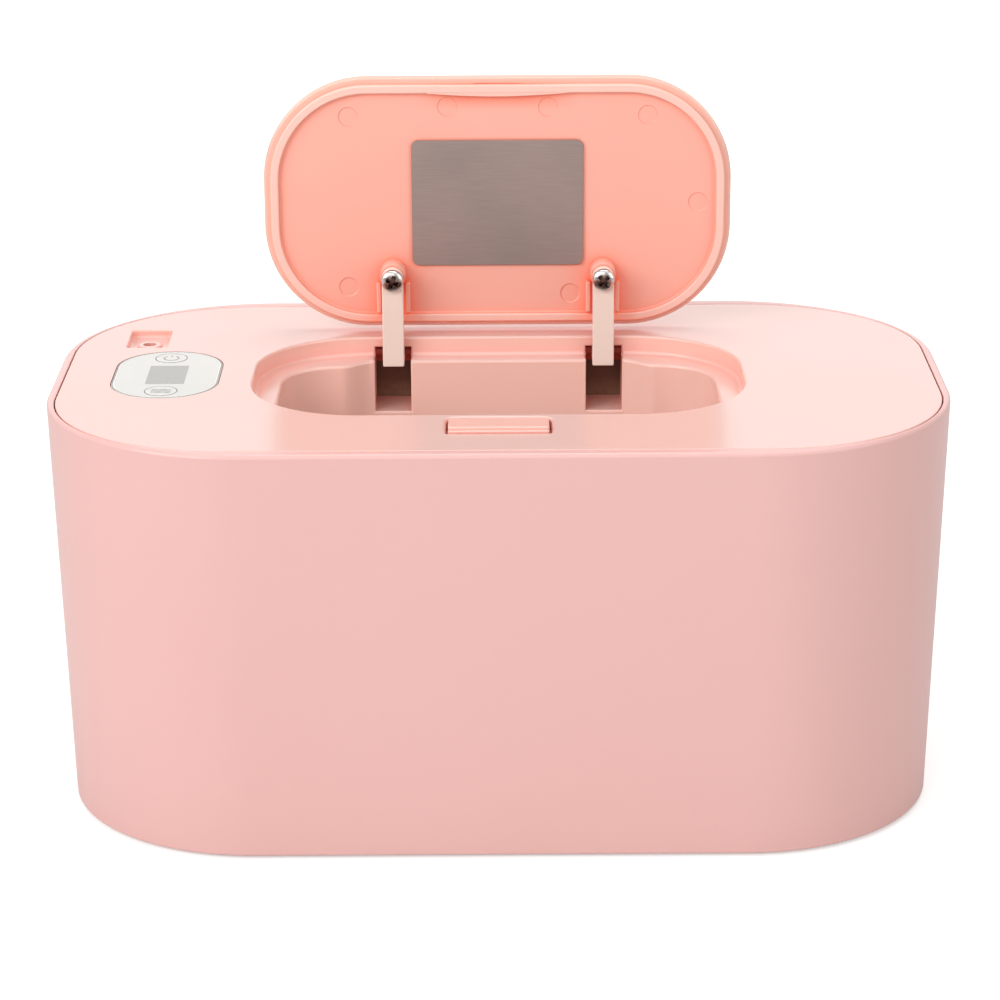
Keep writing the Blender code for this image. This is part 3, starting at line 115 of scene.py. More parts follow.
# Top cover
PLATE = 0.0025
PLATE_ROUND = 0.0003
SKIRT_WALL = 0.0018
SKIRT_CLEARANCE = 0.0015
SKIRT_DEPTH = 0.0217
SKIRT_ROUND = 0.0004
RECESS_LENGTH = 0.1242
RECESS_DEPTH = 0.069
RECESS_CORNER = 0.028
RECESS_CENTRE_Y = -0.0017
RECESS_SINK = 0.005
RECESS_WALL = 0.0016
RECESS_ROUND = 0.0006
RECESS_FILLET = 0.0009
LEDGE_PLATE = 0.002
WELL_LENGTH = 0.1116
WELL_END_DEPTH = 0.0486
WELL_MID_DEPTH = 0.059
WELL_CORNER = 0.0145
WELL_JOG_OUTER = 0.0465
WELL_JOG_INNER = 0.0325
WELL_ROUND = 0.0008
NECK_WALL = 0.002
NECK_SINK = 0.026
COVER_BOSS_RADIUS = 0.0035
COVER_BORE = 0.0117

# Hinge pockets and shaft
HINGE_X = 0.0278
SLOT_WIDTH = 0.0095
SLOT_TOP_SINK = 0.0028
SLOT_FLOOR_SINK = 0.019
SLOT_ROUND = 0.0005
POCKET_WALL = 0.0015
POCKET_ROOF = 0.0019
SHAFT_BEHIND_RECESS = 0.0046
SHAFT_SINK = 0.00495
SHAFT_RADIUS = 0.0012
POCKET_BEHIND_SHAFT = 0.0045

# Lid
LID_LENGTH = 0.1226
LID_DEPTH = 0.0672
LID_FORWARD = 0.0003
LID_CORNER = 0.0274
LID_EDGE = 0.0024
LID_ROUND = 0.0009
LID_LOWER_ROUND = 0.0004
LID_SKIN = 0.0015
LID_BAND = 0.00215
LID_SWING = math.radians(90)
LID_DRAFT = 0.00035
LINER = 0.0015
RING_WIDTH = 0.0019
RING_PROUD = 0.0023
RING_ROUND = 0.00045
RING_FILLET = 0.0005
ARM_WIDTH = 0.0056
ARM_THICKNESS = 0.0024
ARM_ROUND = 0.00035
ARM_OFFSET = 0.0061
ARM_TAIL = 0.00215
ARM_REACH = 0.02145
ARM_END = 0.003
ARM_X = 0.0276
BARREL_RADIUS = 0.0023
ARM_BOSS_RADIUS = 0.0033
ARM_SCREW_SHANK = 0.0012
RIB_CHANNEL = 0.0064
RIB = 0.0012
RIB_HEIGHT = 0.003
RIB_FROM_EDGE = 0.0048
RIB_LENGTH = 0.0082
RIB_ROUND = 0.0003
LIP_LENGTH = 0.036
LIP_BULGE = 0.0008
# How far the liner's painted shadow reaches below the lip
LIP_SHADE = 0.0045
CATCH_LENGTH = 0.0123
CATCH_DEPTH = 0.0004
CATCH_RISE = 0.0003
LABEL_WIDTH = 0.0449
LABEL_DEPTH = 0.0335
LABEL_FORWARD = 0.0003
LABEL_CORNER = 0.0018
LABEL = 0.0004
LABEL_ROUND = 0.0001
MARK_RADIUS = 0.00265
MARK_WIDTH = 0.0003
MARK_DEPTH = 0.00028
# Where the ejector pins marked the liner: sideways, and up from the shaft on the open lid
MARK_PLACES = (
    (-0.0388, 0.0627),
    (-0.0130, 0.0652),
    (0.0133, 0.0650),
    (0.0393, 0.0628),
    (0.0526, 0.0395),
    (-0.0394, 0.0170),
    (0.0191, 0.0150),
)

# Release button
BUTTON_SLOT_WIDTH = 0.0254
BUTTON_SLOT_DEPTH = 0.0129
BUTTON_BRIDGE = 0.0024
BUTTON_REAR_CORNER = 0.0026
BUTTON_FRONT_CORNER = 0.0012
BUTTON_SLOT_ROUND = 0.0009
BUTTON_SIDE_GAP = 0.0005
BUTTON_PROUD = 0.0013
BUTTON_FLANGE = 0.0014
BUTTON_FLANGE_REACH = 0.0011
BUTTON_STEP = 0.0008
BUTTON_ROUND = 0.00045
BUTTON_SLOPE = 0.0013
BUTTON_TRAVEL = 0.0012
HOOK_WIDTH = 0.008
HOOK_WINDOW_MARGIN = 0.0006
POST_RADIUS = 0.0019
POST_LENGTH = 0.0036

# Control panel
LENS_WIDTH = 0.027
LENS_DEPTH = 0.0414
LENS_CORNER = 0.0134
LENS = 0.0012
LENS_ROUND = 0.00015
LENS_FROM_END = 0.0258
LENS_CENTRE_Y = -0.0006
LENS_MARGIN = 0.0002
BOARD_BOSS_RADIUS = 0.0024
BOARD_SCREW_SHANK = 0.001
PRINT = 0.00003
BORDER_INSET = 0.0005
BORDER_WIDTH = 0.0003
EDGE_SHADE_WIDTH = 0.00025
WINDOW_WIDTH = 0.0098
WINDOW_DEPTH = 0.016
WINDOW_BACK = -0.0004
WINDOW_CORNER = 0.0003
KEY_SPACING = 0.0146
KEY_OUTWARD = 0.0003
KEY_RADIUS = 0.0042
KEY_LINE = 0.00034
KEY_HALO = 0.00036
ICON_RADIUS = 0.0019
ICON_LINE = 0.0003
ICON_BAR = 0.0016
ICON_GAP = 38
WAVE_LENGTH = 0.0048
WAVE_HEIGHT = 0.00045
WAVE_SPACING = 0.0011

# Power inlet
INLET_WIDTH = 0.0106
INLET_DEPTH = 0.0168
INLET_SINK = 0.0022
INLET_FLOOR = 0.002
INLET_WALL = 0.0015
INLET_CORNER = 0.0012
INLET_ROUND = 0.0005
INLET_FILLET = 0.0008
JACK_HOLE_ROUND = 0.0002
INLET_OUTWARD = 0.0078
INLET_BEHIND_LENS = 0.0042
JACK_HOLE_RADIUS = 0.0017
JACK_HOLE_BACK = -0.0002
COLLAR_RADIUS = 0.0032
COLLAR_HEIGHT = 0.0007
COLLAR_ROUND = 0.0006

# Under cover and heater
UNDER_COVER = 0.0016
COVER_SCREW_SHANK = 0.0013
SPRING_SEAT_RADIUS = 0.0039
HEATER_INSET = 0.0175
HEATER_FRONT_INSET = 0.0107
HEATER_CORNER = 0.034
FILM_INSET = 0.001
SENSOR_MARGIN = 0.003

# Photograph: its size and the camera that took it
PHOTO_SIZE = 1000
FOCAL_PIXELS = 3263.67
CAMERA_PLACE = (0.000219, -0.79697, 0.34185)
CAMERA_DOWN = math.radians(18.7813)
CAMERA_ROLL = math.radians(-0.3262)
SENSOR = 36
NEAREST_SEEN = 0.05

# Shading
SHARP_ANGLE = math.radians(35)
SCREW_SHARP_ANGLE = math.radians(40)
FLATNESS = 80

# Screws: name, kind of node, body, how many, and head radius, shank radius and head height
SCREWS = (
    ("bottom_screw", "base_screw", "base", 4, (0.0026, 0.0013, 0.0012)),
    ("pan_screw", "cover_screw", "cover", 6, (0.0026, 0.0013, 0.0016)),
    ("pcb_screw", "board_screw", "cover", 2, (0.002, 0.001, 0.0013)),
)
SCREW_TURN = math.radians(37)
ARM_SCREW = (0.0029, 0.0012, 0.002)
ARM_SCREW_TURNS = {"left": 22, "right": 48}
# A screw's form, as shares of its head's radius or height
DOME_STEPS = 7
DOME_SIDE = 0.42
DOME_FLAT = 0.02
CROSS_LENGTH = 1.2
CROSS_WIDTH = 0.4
CROSS_DEPTH = 0.75
CROSS_FLARE = 0.04
CROSS_TAPER = 0.14

# Surfaces: each noise is a scale and a detail, and a roughness where it has one of its own
DRIFT_NOISE = (14, 3)
GLOSS_NOISE = (60, 3)
GLOSS_DRIFT = 0.01
RIPPLE_NOISE = (38, 2)
RIPPLE = 0.00003
LINER_RIPPLE = 0.00005
GRAIN_NOISE = (2600, 3, 0.6)
GRAIN = 0.000002
LINER_GRAIN = 0.000014
METAL_NOISE = (900, 3)
METAL_GRAIN_NOISE = (1500, 3)
METAL_GRAIN = 0.000004
FOIL_STRETCH = (120, 1, 2600)
FOIL_NOISE = (32, 2)
FOIL_GRAIN = 0.000006
PANEL_RIPPLE = 0.00002
RUBBER_GRAIN = 0.00002
BOARD_RELIEF = 0.00003
FILM_RELIEF = 0.00004
INK_TINT = 0.97
# How far the painted corner shade looks for nearby surfaces, and with how many samples
CORNER_REACH = 0.008
CORNER_SAMPLES = 8
# Where the backing's painted red light starts and ends, below the top
PAINTED_GLOW_START = 0.0094
PAINTED_GLOW_END = 0.009
BACKING_FADE = 0.005

# Light: what the floor adds where the camera sees it, how far its shadow shows, and the sky's share
FLOOR_REACH = 3.0
FLOOR_COLOUR = (0.8, 0.79, 0.78, 1)
FLOOR_GLOW = 0.45
SHADOW_REACH = 0.4
SHADOW_END = 1.2
WORLD_LIGHT = 0.34
WHITE = (1, 1, 1, 1)
# Lamps: name, place, width and height, and power
LAMPS = (
    ("left", (-1.1, -0.9, 0.9), (1.0, 1.0), 12.5),
    ("front", (-0.35, -1.5, 1.0), (1.4, 0.9), 7.5),
    ("overhead", (0.1, 0.25, 1.4), (1.2, 0.9), 9),
    ("behind", (0, 2.0, 0.75), (3.0, 1.0), 4.2),
    ("right", (1.2, -0.8, 0.6), (1.0, 1.0), 4),
)

# Counts
CORNER_STEPS = 24
JOG_STEPS = 14
ROUND_STEPS = 5
CIRCLE_SIDES = 48
SMALL_SIDES = 32
LIP_STEPS = 32
WAVE_STEPS = 24

# Heights and places that follow from the sizes above
PLATE_UNDER = TOP - PLATE
FLANGE_TOP = PLATE_UNDER - SEAT_GAP
FLANGE_UNDER = FLANGE_TOP - TANK_FLANGE
LEDGE_TOP = FLANGE_UNDER - SEAT_GAP
SEAT_UNDER = SHELL_BOTTOM + BASE_PLATE + SEAT_GAP
SKIRT_END = TOP - SKIRT_DEPTH
NECK_BOTTOM = TOP - NECK_SINK
BORE_RADIUS = COVER_SCREW_SHANK + SEAT_GAP
LEDGE_LEVEL = TOP - RECESS_SINK
SHAFT_Z = TOP - SHAFT_SINK
PLATE_POCKET = (PLATE_WIDTH, PLATE_DEPTH, PLATE_CORNER, (0, PLATE_CENTRE_Y))
TANK_TOP_INSET = LEDGE_WIDTH + SEAT_GAP
SKIRT_INSET = TANK_TOP_INSET + TANK_WALL + SKIRT_CLEARANCE
RECESS = (RECESS_LENGTH, RECESS_DEPTH, RECESS_CORNER, (0, RECESS_CENTRE_Y))
LID_CENTRE_Y = RECESS_CENTRE_Y - LID_FORWARD
LID = (LID_LENGTH, LID_DEPTH, LID_CORNER, (0, LID_CENTRE_Y))
RECESS_REAR = RECESS_CENTRE_Y + RECESS_DEPTH / 2
RECESS_FRONT = RECESS_CENTRE_Y - RECESS_DEPTH / 2
LID_REAR = LID_CENTRE_Y + LID_DEPTH / 2
LID_FRONT = LID_CENTRE_Y - LID_DEPTH / 2
NECK_REAR = RECESS_CENTRE_Y + WELL_MID_DEPTH / 2
SHAFT_Y = RECESS_REAR + SHAFT_BEHIND_RECESS
POCKET_REAR = SHAFT_Y + POCKET_BEHIND_SHAFT
LENS_X = GROOVE + LENS_FROM_END - PLATE_WIDTH / 2
INLET_X = LENS_X - INLET_OUTWARD
INLET_Y = LENS_CENTRE_Y + LENS_DEPTH / 2 + INLET_BEHIND_LENS + INLET_DEPTH / 2
JACK_Y = INLET_Y + JACK_HOLE_BACK
BUTTON_Y = RECESS_FRONT - BUTTON_BRIDGE - BUTTON_SLOT_DEPTH / 2
LID_OPEN = (
    Matrix.Translation((0, SHAFT_Y, SHAFT_Z))
    @ Matrix.Rotation(-LID_SWING, 4, "X")
    @ Matrix.Translation((0, -SHAFT_Y, -SHAFT_Z))
)


# Outlines, all anticlockwise from above


def rounded(width, depth, corner, centre=(0, 0), inset=0, front_corner=None):
    """A rounded rectangle drawn in by an inset."""
    half_x = width / 2 - inset
    half_y = depth / 2 - inset
    largest = min(half_x, half_y) - SHARPEST / 2
    points = []
    for quarter in range(4):
        chosen = corner if quarter < 2 or front_corner is None else front_corner
        radius = min(max(chosen - inset, SHARPEST), largest)
        side_x = 1 if quarter in (0, 3) else -1
        side_y = 1 if quarter < 2 else -1
        for step in range(CORNER_STEPS + 1):
            angle = (quarter + step / CORNER_STEPS) * math.pi / 2
            x = centre[0] + side_x * (half_x - radius) + radius * math.cos(angle)
            y = centre[1] + side_y * (half_y - radius) + radius * math.sin(angle)
            points.append((x, y))
    return points


def outline_of(shape):
    """A function that draws a (width, depth, corner, centre) outline at any inset."""
    width, depth, corner, centre = shape
    return lambda inset: rounded(width, depth, corner, centre, inset)


def body(inset):
    return rounded(BODY_WIDTH, BODY_DEPTH, BODY_CORNER, inset=inset)


def well(inset):
    """The dispensing opening: its middle is deeper than its round ends, with an S-curve between."""
    half_x = WELL_LENGTH / 2 - inset
    end_y = WELL_END_DEPTH / 2 - inset
    mid_y = WELL_MID_DEPTH / 2 - inset
    radius = WELL_CORNER - inset
    quarter = []
    for step in range(CORNER_STEPS + 1):
        angle = step / CORNER_STEPS * math.pi / 2
        x = half_x - radius + radius * math.cos(angle)
        quarter.append((x, end_y - radius + radius * math.sin(angle)))
    outer = min(WELL_JOG_OUTER - inset, half_x - radius)
    inner = WELL_JOG_INNER - inset
    for step in range(1, JOG_STEPS + 1):
        share = step / JOG_STEPS
        rise = (1 - math.cos(share * math.pi)) / 2
        quarter.append((outer + (inner - outer) * share, end_y + (mid_y - end_y) * rise))
    upper = quarter + [(-x, y) for x, y in reversed(quarter)]
    points = upper + [(x, -y) for x, y in reversed(upper)]
    return [(x, y + RECESS_CENTRE_Y) for x, y in points]


def circle(radius, centre=(0, 0), sides=CIRCLE_SIDES):
    """A function that draws a circle at any inset."""
    angles = [step / sides * 2 * math.pi for step in range(sides)]

    def draw(inset):
        reach = radius - inset
        return [(centre[0] + reach * math.cos(a), centre[1] + reach * math.sin(a)) for a in angles]

    return draw


def rectangle(low, high):
    """A function that draws a sharp rectangle at any inset."""

    def draw(inset):
        left, front = low[0] + inset, low[1] + inset
        right, rear = high[0] - inset, high[1] - inset
        return [(right, front), (right, rear), (left, rear), (left, front)]

    return draw


# Edge profiles: lists of (inset, height) that run upward


def top_edge(inset, level, radius):
    """A rounded upper edge, from the wall to the top face."""
    angles = [step / ROUND_STEPS * math.pi / 2 for step in range(ROUND_STEPS + 1)]
    return [(inset + radius * (1 - math.cos(a)), level - radius * (1 - math.sin(a))) for a in angles]


def bottom_edge(inset, level, radius):
    """A rounded lower edge, from the bottom face to the wall."""
    return [(i, 2 * level - h) for i, h in reversed(top_edge(inset, level, radius))]


def top_flare(inset, level, radius):
    """How a cutter widens to leave a rounded edge on the top face that it goes through."""
    rise = [(2 * inset - i, h) for i, h in top_edge(inset, level, radius)]
    return rise + [(inset - radius, level + OVERRUN)]


def bottom_flare(inset, level, radius):
    return [(i, 2 * level - h) for i, h in reversed(top_flare(inset, level, radius))]


# Solids


def add_object(name, data):
    obj = bpy.data.objects.new(name, data)
    bpy.context.scene.collection.objects.link(obj)
    return obj


def add_solid(name, shape):
    """An object made of a bmesh, which is freed."""
    mesh = bpy.data.meshes.new(name)
    shape.to_mesh(mesh)
    shape.free()
    return add_object(name, mesh)


def stack(name, draw, profile):
    """A solid whose outline is drawn at each inset and height of a profile."""
    shape = bmesh.new()
    rows = [[shape.verts.new((x, y, height)) for x, y in draw(inset)] for inset, height in profile]
    for lower, upper in zip(rows, rows[1:]):
        for i in range(len(lower)):
            shape.faces.new((lower[i - 1], lower[i], upper[i], upper[i - 1]))
    shape.faces.new(list(reversed(rows[0])))
    shape.faces.new(rows[-1])
    return add_solid(name, shape)


def plate(name, draw, bottom, top, inset=0):
    """A flat solid with sharp edges."""
    return stack(name, draw, [(inset, bottom), (inset, top)])


def pillow(name, draw, bottom, top, radius, inset=0):
    """A flat solid with all its edges rounded."""
    profile = bottom_edge(inset, bottom, radius) + top_edge(inset, top, radius)
    return stack(name, draw, profile)


def block(name, low, high, radius=0):
    """A box between two corners, its edges rounded if a radius is given."""
    shape = bmesh.new()
    bmesh.ops.create_cube(shape, size=1)
    bmesh.ops.scale(shape, vec=[b - a for a, b in zip(low, high)], verts=shape.verts)
    bmesh.ops.translate(shape, vec=[(a + b) / 2 for a, b in zip(low, high)], verts=shape.verts)
    if radius:
        bevel = {"offset": radius, "segments": ROUND_STEPS, "profile": 0.5, "affect": "EDGES"}
        bmesh.ops.bevel(shape, geom=shape.edges[:], **bevel)
    return add_solid(name, shape)


def cylinder(name, radius, bottom, top, centre, sides=SMALL_SIDES):
    return plate(name, circle(radius, centre, sides), bottom, top)


def rod(name, radius, left, right, y, z, sides=CIRCLE_SIDES, edge=0):
    """A cylinder lying along X, its end edges rounded if an edge radius is given."""
    length = right - left
    draw = circle(radius, sides=sides)
    obj = pillow(name, draw, 0, length, edge) if edge else plate(name, draw, 0, length)
    lay = Matrix.Translation((left, y, z)) @ Matrix.Rotation(math.pi / 2, 4, "Y")
    obj.data.transform(lay)
    return obj


def combine(target, operation, others):
    """Joins others to the target, or cuts them out of it, and removes them."""
    for other in others:
        modifier = target.modifiers.new(other.name, "BOOLEAN")
        modifier.operation = operation
        modifier.solver = "EXACT"
        modifier.object = other
    graph = bpy.context.evaluated_depsgraph_get()
    mesh = bpy.data.meshes.new_from_object(target.evaluated_get(graph))
    target.modifiers.clear()
    target.data = mesh
    for other in others:
        bpy.data.objects.remove(other, do_unlink=True)
    return target


def join(target, *others):
    return combine(target, "UNION", others)


def cut(target, *others):
    return combine(target, "DIFFERENCE", others)


def coat(obj, material):
    """Gives a piece its material."""
    obj.data.materials.clear()
    obj.data.materials.append(material)


def place(obj, material, body_name, slot, *nodes, sharp_above=SHARP_ANGLE):
    """Shades a piece, sets it on its body and hides the nodes that it stands for.

    Smooth shading keeps flat faces flat, and edges sharper than the angle crisp.
    """
    mesh = obj.data
    if body_name == "lid":
        mesh.transform(LID_OPEN)
    mesh.shade_smooth()
    mesh.set_sharp_from_angle(angle=sharp_above)
    normals = obj.modifiers.new("Flat faces stay flat", "WEIGHTED_NORMAL")
    normals.keep_sharp = True
    normals.weight = FLATNESS
    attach(obj, body_name)
    if nodes:
        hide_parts(*nodes)
    coat(obj, material)


# Materials


def srgb(red, green, blue):
    """A colour given as it shows on a screen, 0 to 255, as Blender's linear values with alpha."""
    shares = (red / 255, green / 255, blue / 255)
    linear = (s / 12.92 if s < 0.04 else ((s + 0.055) / 1.055) ** 2.4 for s in shares)
    return (*linear, 1)


class Nodes:
    """The node tree of a material or the world, with short calls to add to it."""

    def __init__(self, owner):
        owner.use_nodes = True
        self.owner = owner
        self.tree = owner.node_tree

    @cached_property
    def spot(self):
        return self.add("ShaderNodeTexCoord").outputs

    def add(self, kind, inputs=None, **settings):
        node = self.tree.nodes.new(kind)
        for key, value in settings.items():
            setattr(node, key, value)
        for key, value in (inputs or {}).items():
            self.put(node.inputs[key], value)
        return node

    def put(self, socket, value):
        if isinstance(value, bpy.types.NodeSocket):
            self.tree.links.new(value, socket)
        else:
            socket.default_value = value

    def split(self, kind="Object"):
        """The X, Y and Z of where the surface is, or of its normal."""
        return self.add("ShaderNodeSeparateXYZ", {"Vector": self.spot[kind]}).outputs

    def math(self, operation, *values):
        return self.add("ShaderNodeMath", dict(enumerate(values)), operation=operation).outputs["Value"]

    def noise(self, scale, detail=2, roughness=0.5, vector=None):
        inputs = {"Scale": scale, "Detail": detail, "Roughness": roughness}
        inputs["Vector"] = self.spot["Object"] if vector is None else vector
        return self.add("ShaderNodeTexNoise", inputs).outputs["Fac"]

    def ramp(self, value, low, high, start=0.35, end=0.65):
        """Turns a share that runs from start to end into a value that runs from low to high."""
        inputs = {"Value": value, "From Min": start, "From Max": end, "To Min": low, "To Max": high}
        return self.add("ShaderNodeMapRange", inputs).outputs["Result"]

    def blend(self, share, first, second):
        """Mixes two colours, each a socket or a screen colour."""
        node = self.add("ShaderNodeMix", {"Factor": share}, data_type="RGBA")
        sockets = [socket for socket in node.inputs if socket.type == "RGBA"]
        for socket, colour in zip(sockets, (first, second)):
            self.put(socket, srgb(*colour) if isinstance(colour, tuple) else colour)
        return next(socket for socket in node.outputs if socket.type == "RGBA")

    def mottle(self, noise, colour, tint):
        """Two colours mixed by a noise of a given scale and detail."""
        return self.blend(self.ramp(self.noise(*noise), 0, 1), colour, tint)

    def openness(self, reach=CORNER_REACH, start=0.3, end=0.85):
        """1 in the open, less in corners and under edges."""
        node = self.add("ShaderNodeAmbientOcclusion", {"Distance": reach}, samples=CORNER_SAMPLES)
        return self.ramp(node.outputs["AO"], 0, 1, start, end)

    def facing(self, axis):
        """1 where the surface faces along an axis, either way, and 0 where it stands square to it."""
        return self.math("ABSOLUTE", self.split("Normal")[axis])

    def bump(self, height, distance, normal=None):
        inputs = {"Height": height, "Distance": distance, "Strength": 1.0}
        if normal is not None:
            inputs["Normal"] = normal
        return self.add("ShaderNodeBump", inputs).outputs["Normal"]

    def finish(self, **values):
        """Sets inputs of the shader and returns the material."""
        shader = self.tree.nodes["Principled BSDF"]
        for key, value in values.items():
            self.put(shader.inputs[key.replace("_", " ")], value)
        return self.owner


def new_nodes(name):
    return Nodes(bpy.data.materials.new(name))


def moulded(name, colour, tint, roughness=0.3, grain=GRAIN, specular=0.5, painted_corner_shade=None, painted_wall_light=None):
    """Moulded plastic: slow drifts of colour, faint flow ripples and a fine satin grain.

    A colour given for its corners is painted shade there and under its edges, warm as shade is in
    plastic that light enters, and a colour given for its walls is painted light that makes them paler.
    """
    nodes = new_nodes(name)
    colour_now = nodes.mottle(DRIFT_NOISE, colour, tint)
    # Painted light: walls get a paler colour than faces that look up or down
    if painted_wall_light:
        level = nodes.ramp(nodes.facing("Z"), 0, 1, 0.3, 0.8)
        colour_now = nodes.blend(level, painted_wall_light, colour_now)
    # Painted shade: corners and the undersides of edges get a deeper, warmer colour
    if painted_corner_shade:
        colour_now = nodes.blend(nodes.openness(), painted_corner_shade, colour_now)
    low, high = roughness - GLOSS_DRIFT, roughness + GLOSS_DRIFT
    waves = nodes.bump(nodes.noise(*RIPPLE_NOISE), RIPPLE)
    return nodes.finish(
        Base_Color=colour_now,
        Roughness=nodes.ramp(nodes.noise(*GLOSS_NOISE), low, high, 0.2, 0.8),
        Normal=nodes.bump(nodes.noise(*GRAIN_NOISE), grain, waves),
        Specular_IOR_Level=specular,
    )


def liner_material():
    """Salmon plastic, with painted light on what stands proud, painted shade in its corners and a painted
    orange shadow below the lip.
    """
    nodes = new_nodes("liner_salmon")
    spot = nodes.split()
    floor = SHAFT_Y + (TOP - LID_SKIN - SEAT_GAP - LINER) - SHAFT_Z
    proud = SHAFT_Y + (TOP - LID_EDGE - RING_PROUD) - SHAFT_Z
    lip_level = SHAFT_Z + SHAFT_Y - LID_FRONT - LID_BAND - RING_WIDTH
    painted_shadow_below_lip = nodes.ramp(spot["Z"], 0, 1, lip_level - LIP_SHADE, lip_level - LIP_BULGE)
    sideways = nodes.math("ABSOLUTE", spot["X"])
    near_middle = nodes.ramp(sideways, 1, 0, LIP_LENGTH / 4, LIP_LENGTH * 0.6)
    low = nodes.mottle(DRIFT_NOISE, (255, 184, 167), (255, 181, 163))
    # Painted shadow: a deeper orange just below the middle of the lip
    low = nodes.blend(nodes.math("MULTIPLY", painted_shadow_below_lip, near_middle), low, (252, 140, 112))
    # Painted light: paler on the ring and other parts that stand proud of the floor
    colour = nodes.blend(nodes.ramp(spot["Y"], 1, 0, proud, floor), low, (253, 205, 191))
    waves = nodes.bump(nodes.noise(*RIPPLE_NOISE), LINER_RIPPLE)
    return nodes.finish(
        # Painted shade: a deeper orange in corners and under edges
        Base_Color=nodes.blend(nodes.openness(0.01, 0.4, 0.9), (255, 142, 112), colour),
        Roughness=nodes.ramp(nodes.noise(*GLOSS_NOISE), 0.34, 0.42),
        Normal=nodes.bump(nodes.noise(*GRAIN_NOISE), LINER_GRAIN, waves),
    )


def screw_material():
    """Bright plated steel, with a painted dark reflection where its surface looks straight out, and painted
    shade in its drive and under its head.
    """
    nodes = new_nodes("plated_steel")
    bright = nodes.mottle(METAL_NOISE, (226, 222, 220), (205, 199, 196))
    painted_reflection_mask = nodes.math("MAXIMUM", nodes.facing("Y"), nodes.facing("Z"))
    # Painted reflection: darker where the surface faces straight along Y or Z, as polished steel mirrors dark
    # surroundings
    tone = nodes.blend(nodes.ramp(painted_reflection_mask, 0, 0.8, 0.82, 0.97), bright, (92, 74, 66))
    return nodes.finish(
        # Painted shade: near black in the drive and under the head
        Base_Color=nodes.blend(nodes.openness(0.0016), (52, 34, 28), tone),
        Roughness=nodes.ramp(nodes.noise(700, 4), 0.08, 0.14),
        Metallic=1.0,
        Normal=nodes.bump(nodes.noise(*METAL_GRAIN_NOISE), METAL_GRAIN),
    )


def uneven(name, colour, tint, tone_noise, gloss_noise, gloss, grain_noise=None, grain=0, **values):
    """A surface whose colour, gloss and height each follow a noise of a scale and a detail."""
    nodes = new_nodes(name)
    if grain_noise:
        values["Normal"] = nodes.bump(nodes.noise(*grain_noise), grain)
    roughness = nodes.ramp(nodes.noise(*gloss_noise), *gloss)
    return nodes.finish(Base_Color=nodes.mottle(tone_noise, colour, tint), Roughness=roughness, **values)


def printed(name, colour, roughness=0.3):
    """A thin print on the panel, with the slight unevenness of ink."""
    tint = tuple(channel * INK_TINT for channel in colour)
    return uneven(name, colour, tint, (1800, 3), (300, 2), (roughness - 0.02, roughness + 0.03))


def label_material():
    """Silver foil: fine grain across, and a broad drift of tone."""
    nodes = new_nodes("silver_label")
    stretch = nodes.add("ShaderNodeMapping", {"Vector": nodes.spot["Object"], "Scale": FOIL_STRETCH})
    grain = nodes.noise(1.0, 3, vector=stretch.outputs["Vector"])
    base = nodes.mottle(FOIL_NOISE, (153, 139, 134), (163, 145, 139))
    dark = nodes.mottle(FOIL_NOISE, (145, 132, 128), (156, 139, 133))
    return nodes.finish(
        Base_Color=nodes.blend(nodes.ramp(grain, 0, 1, 0.3, 0.7), base, dark),
        Roughness=nodes.ramp(grain, 0.36, 0.46),
        Metallic=0.45,
        Normal=nodes.bump(grain, FOIL_GRAIN),
    )


def backing_material():
    """Dark brown plastic, lighter at its foot, with painted red light at its top for the light that comes
    through the cover above it.
    """
    nodes = new_nodes("slot_backing")
    height = nodes.split()["Z"]
    foot = TOP - SLOT_FLOOR_SINK
    brown = nodes.blend(nodes.ramp(height, 0, 1, foot, foot + BACKING_FADE), (142, 108, 84), (104, 72, 54))
    brown = nodes.blend(nodes.ramp(nodes.noise(500, 3), 0, 0.35), brown, (98, 68, 51))
    # Painted light: red near the top, standing in for light through the cover
    glow = nodes.ramp(height, 0, 1, TOP - PAINTED_GLOW_START, TOP - PAINTED_GLOW_END)
    return nodes.finish(Base_Color=nodes.blend(glow, brown, (205, 84, 64)), Roughness=0.55)


def tracked(name, colour, track, wave, edge, gloss_noise, gloss, height, direction="X", metallic=0.0):
    """A sheet with tracks that follow a wave of a scale, a distortion and a detail."""
    nodes = new_nodes(name)
    inputs = dict(zip(("Scale", "Distortion", "Detail"), wave), Vector=nodes.spot["Object"])
    lines = nodes.add("ShaderNodeTexWave", inputs, bands_direction=direction).outputs["Fac"]
    return nodes.finish(
        Base_Color=nodes.blend(nodes.ramp(lines, 0, 1, *edge), colour, track),
        Roughness=nodes.ramp(nodes.noise(*gloss_noise), *gloss),
        Normal=nodes.bump(lines, height),
        Metallic=metallic,
    )


SHELL_PINK = moulded("shell_pink", (230, 182, 177), (229, 181, 175))
# Cover plastic with painted shade in its corners and painted light on its walls
COVER_PINK = moulded(
    "cover_pink",
    (230, 191, 182),
    (228, 188, 178),
    0.2,
    specular=0.6,
    painted_corner_shade=(240, 168, 155),
    painted_wall_light=(255, 205, 191),
)
LID_PINK = moulded("lid_pink", (246, 195, 178), (244, 191, 173), 0.25)
LINER_SALMON = liner_material()
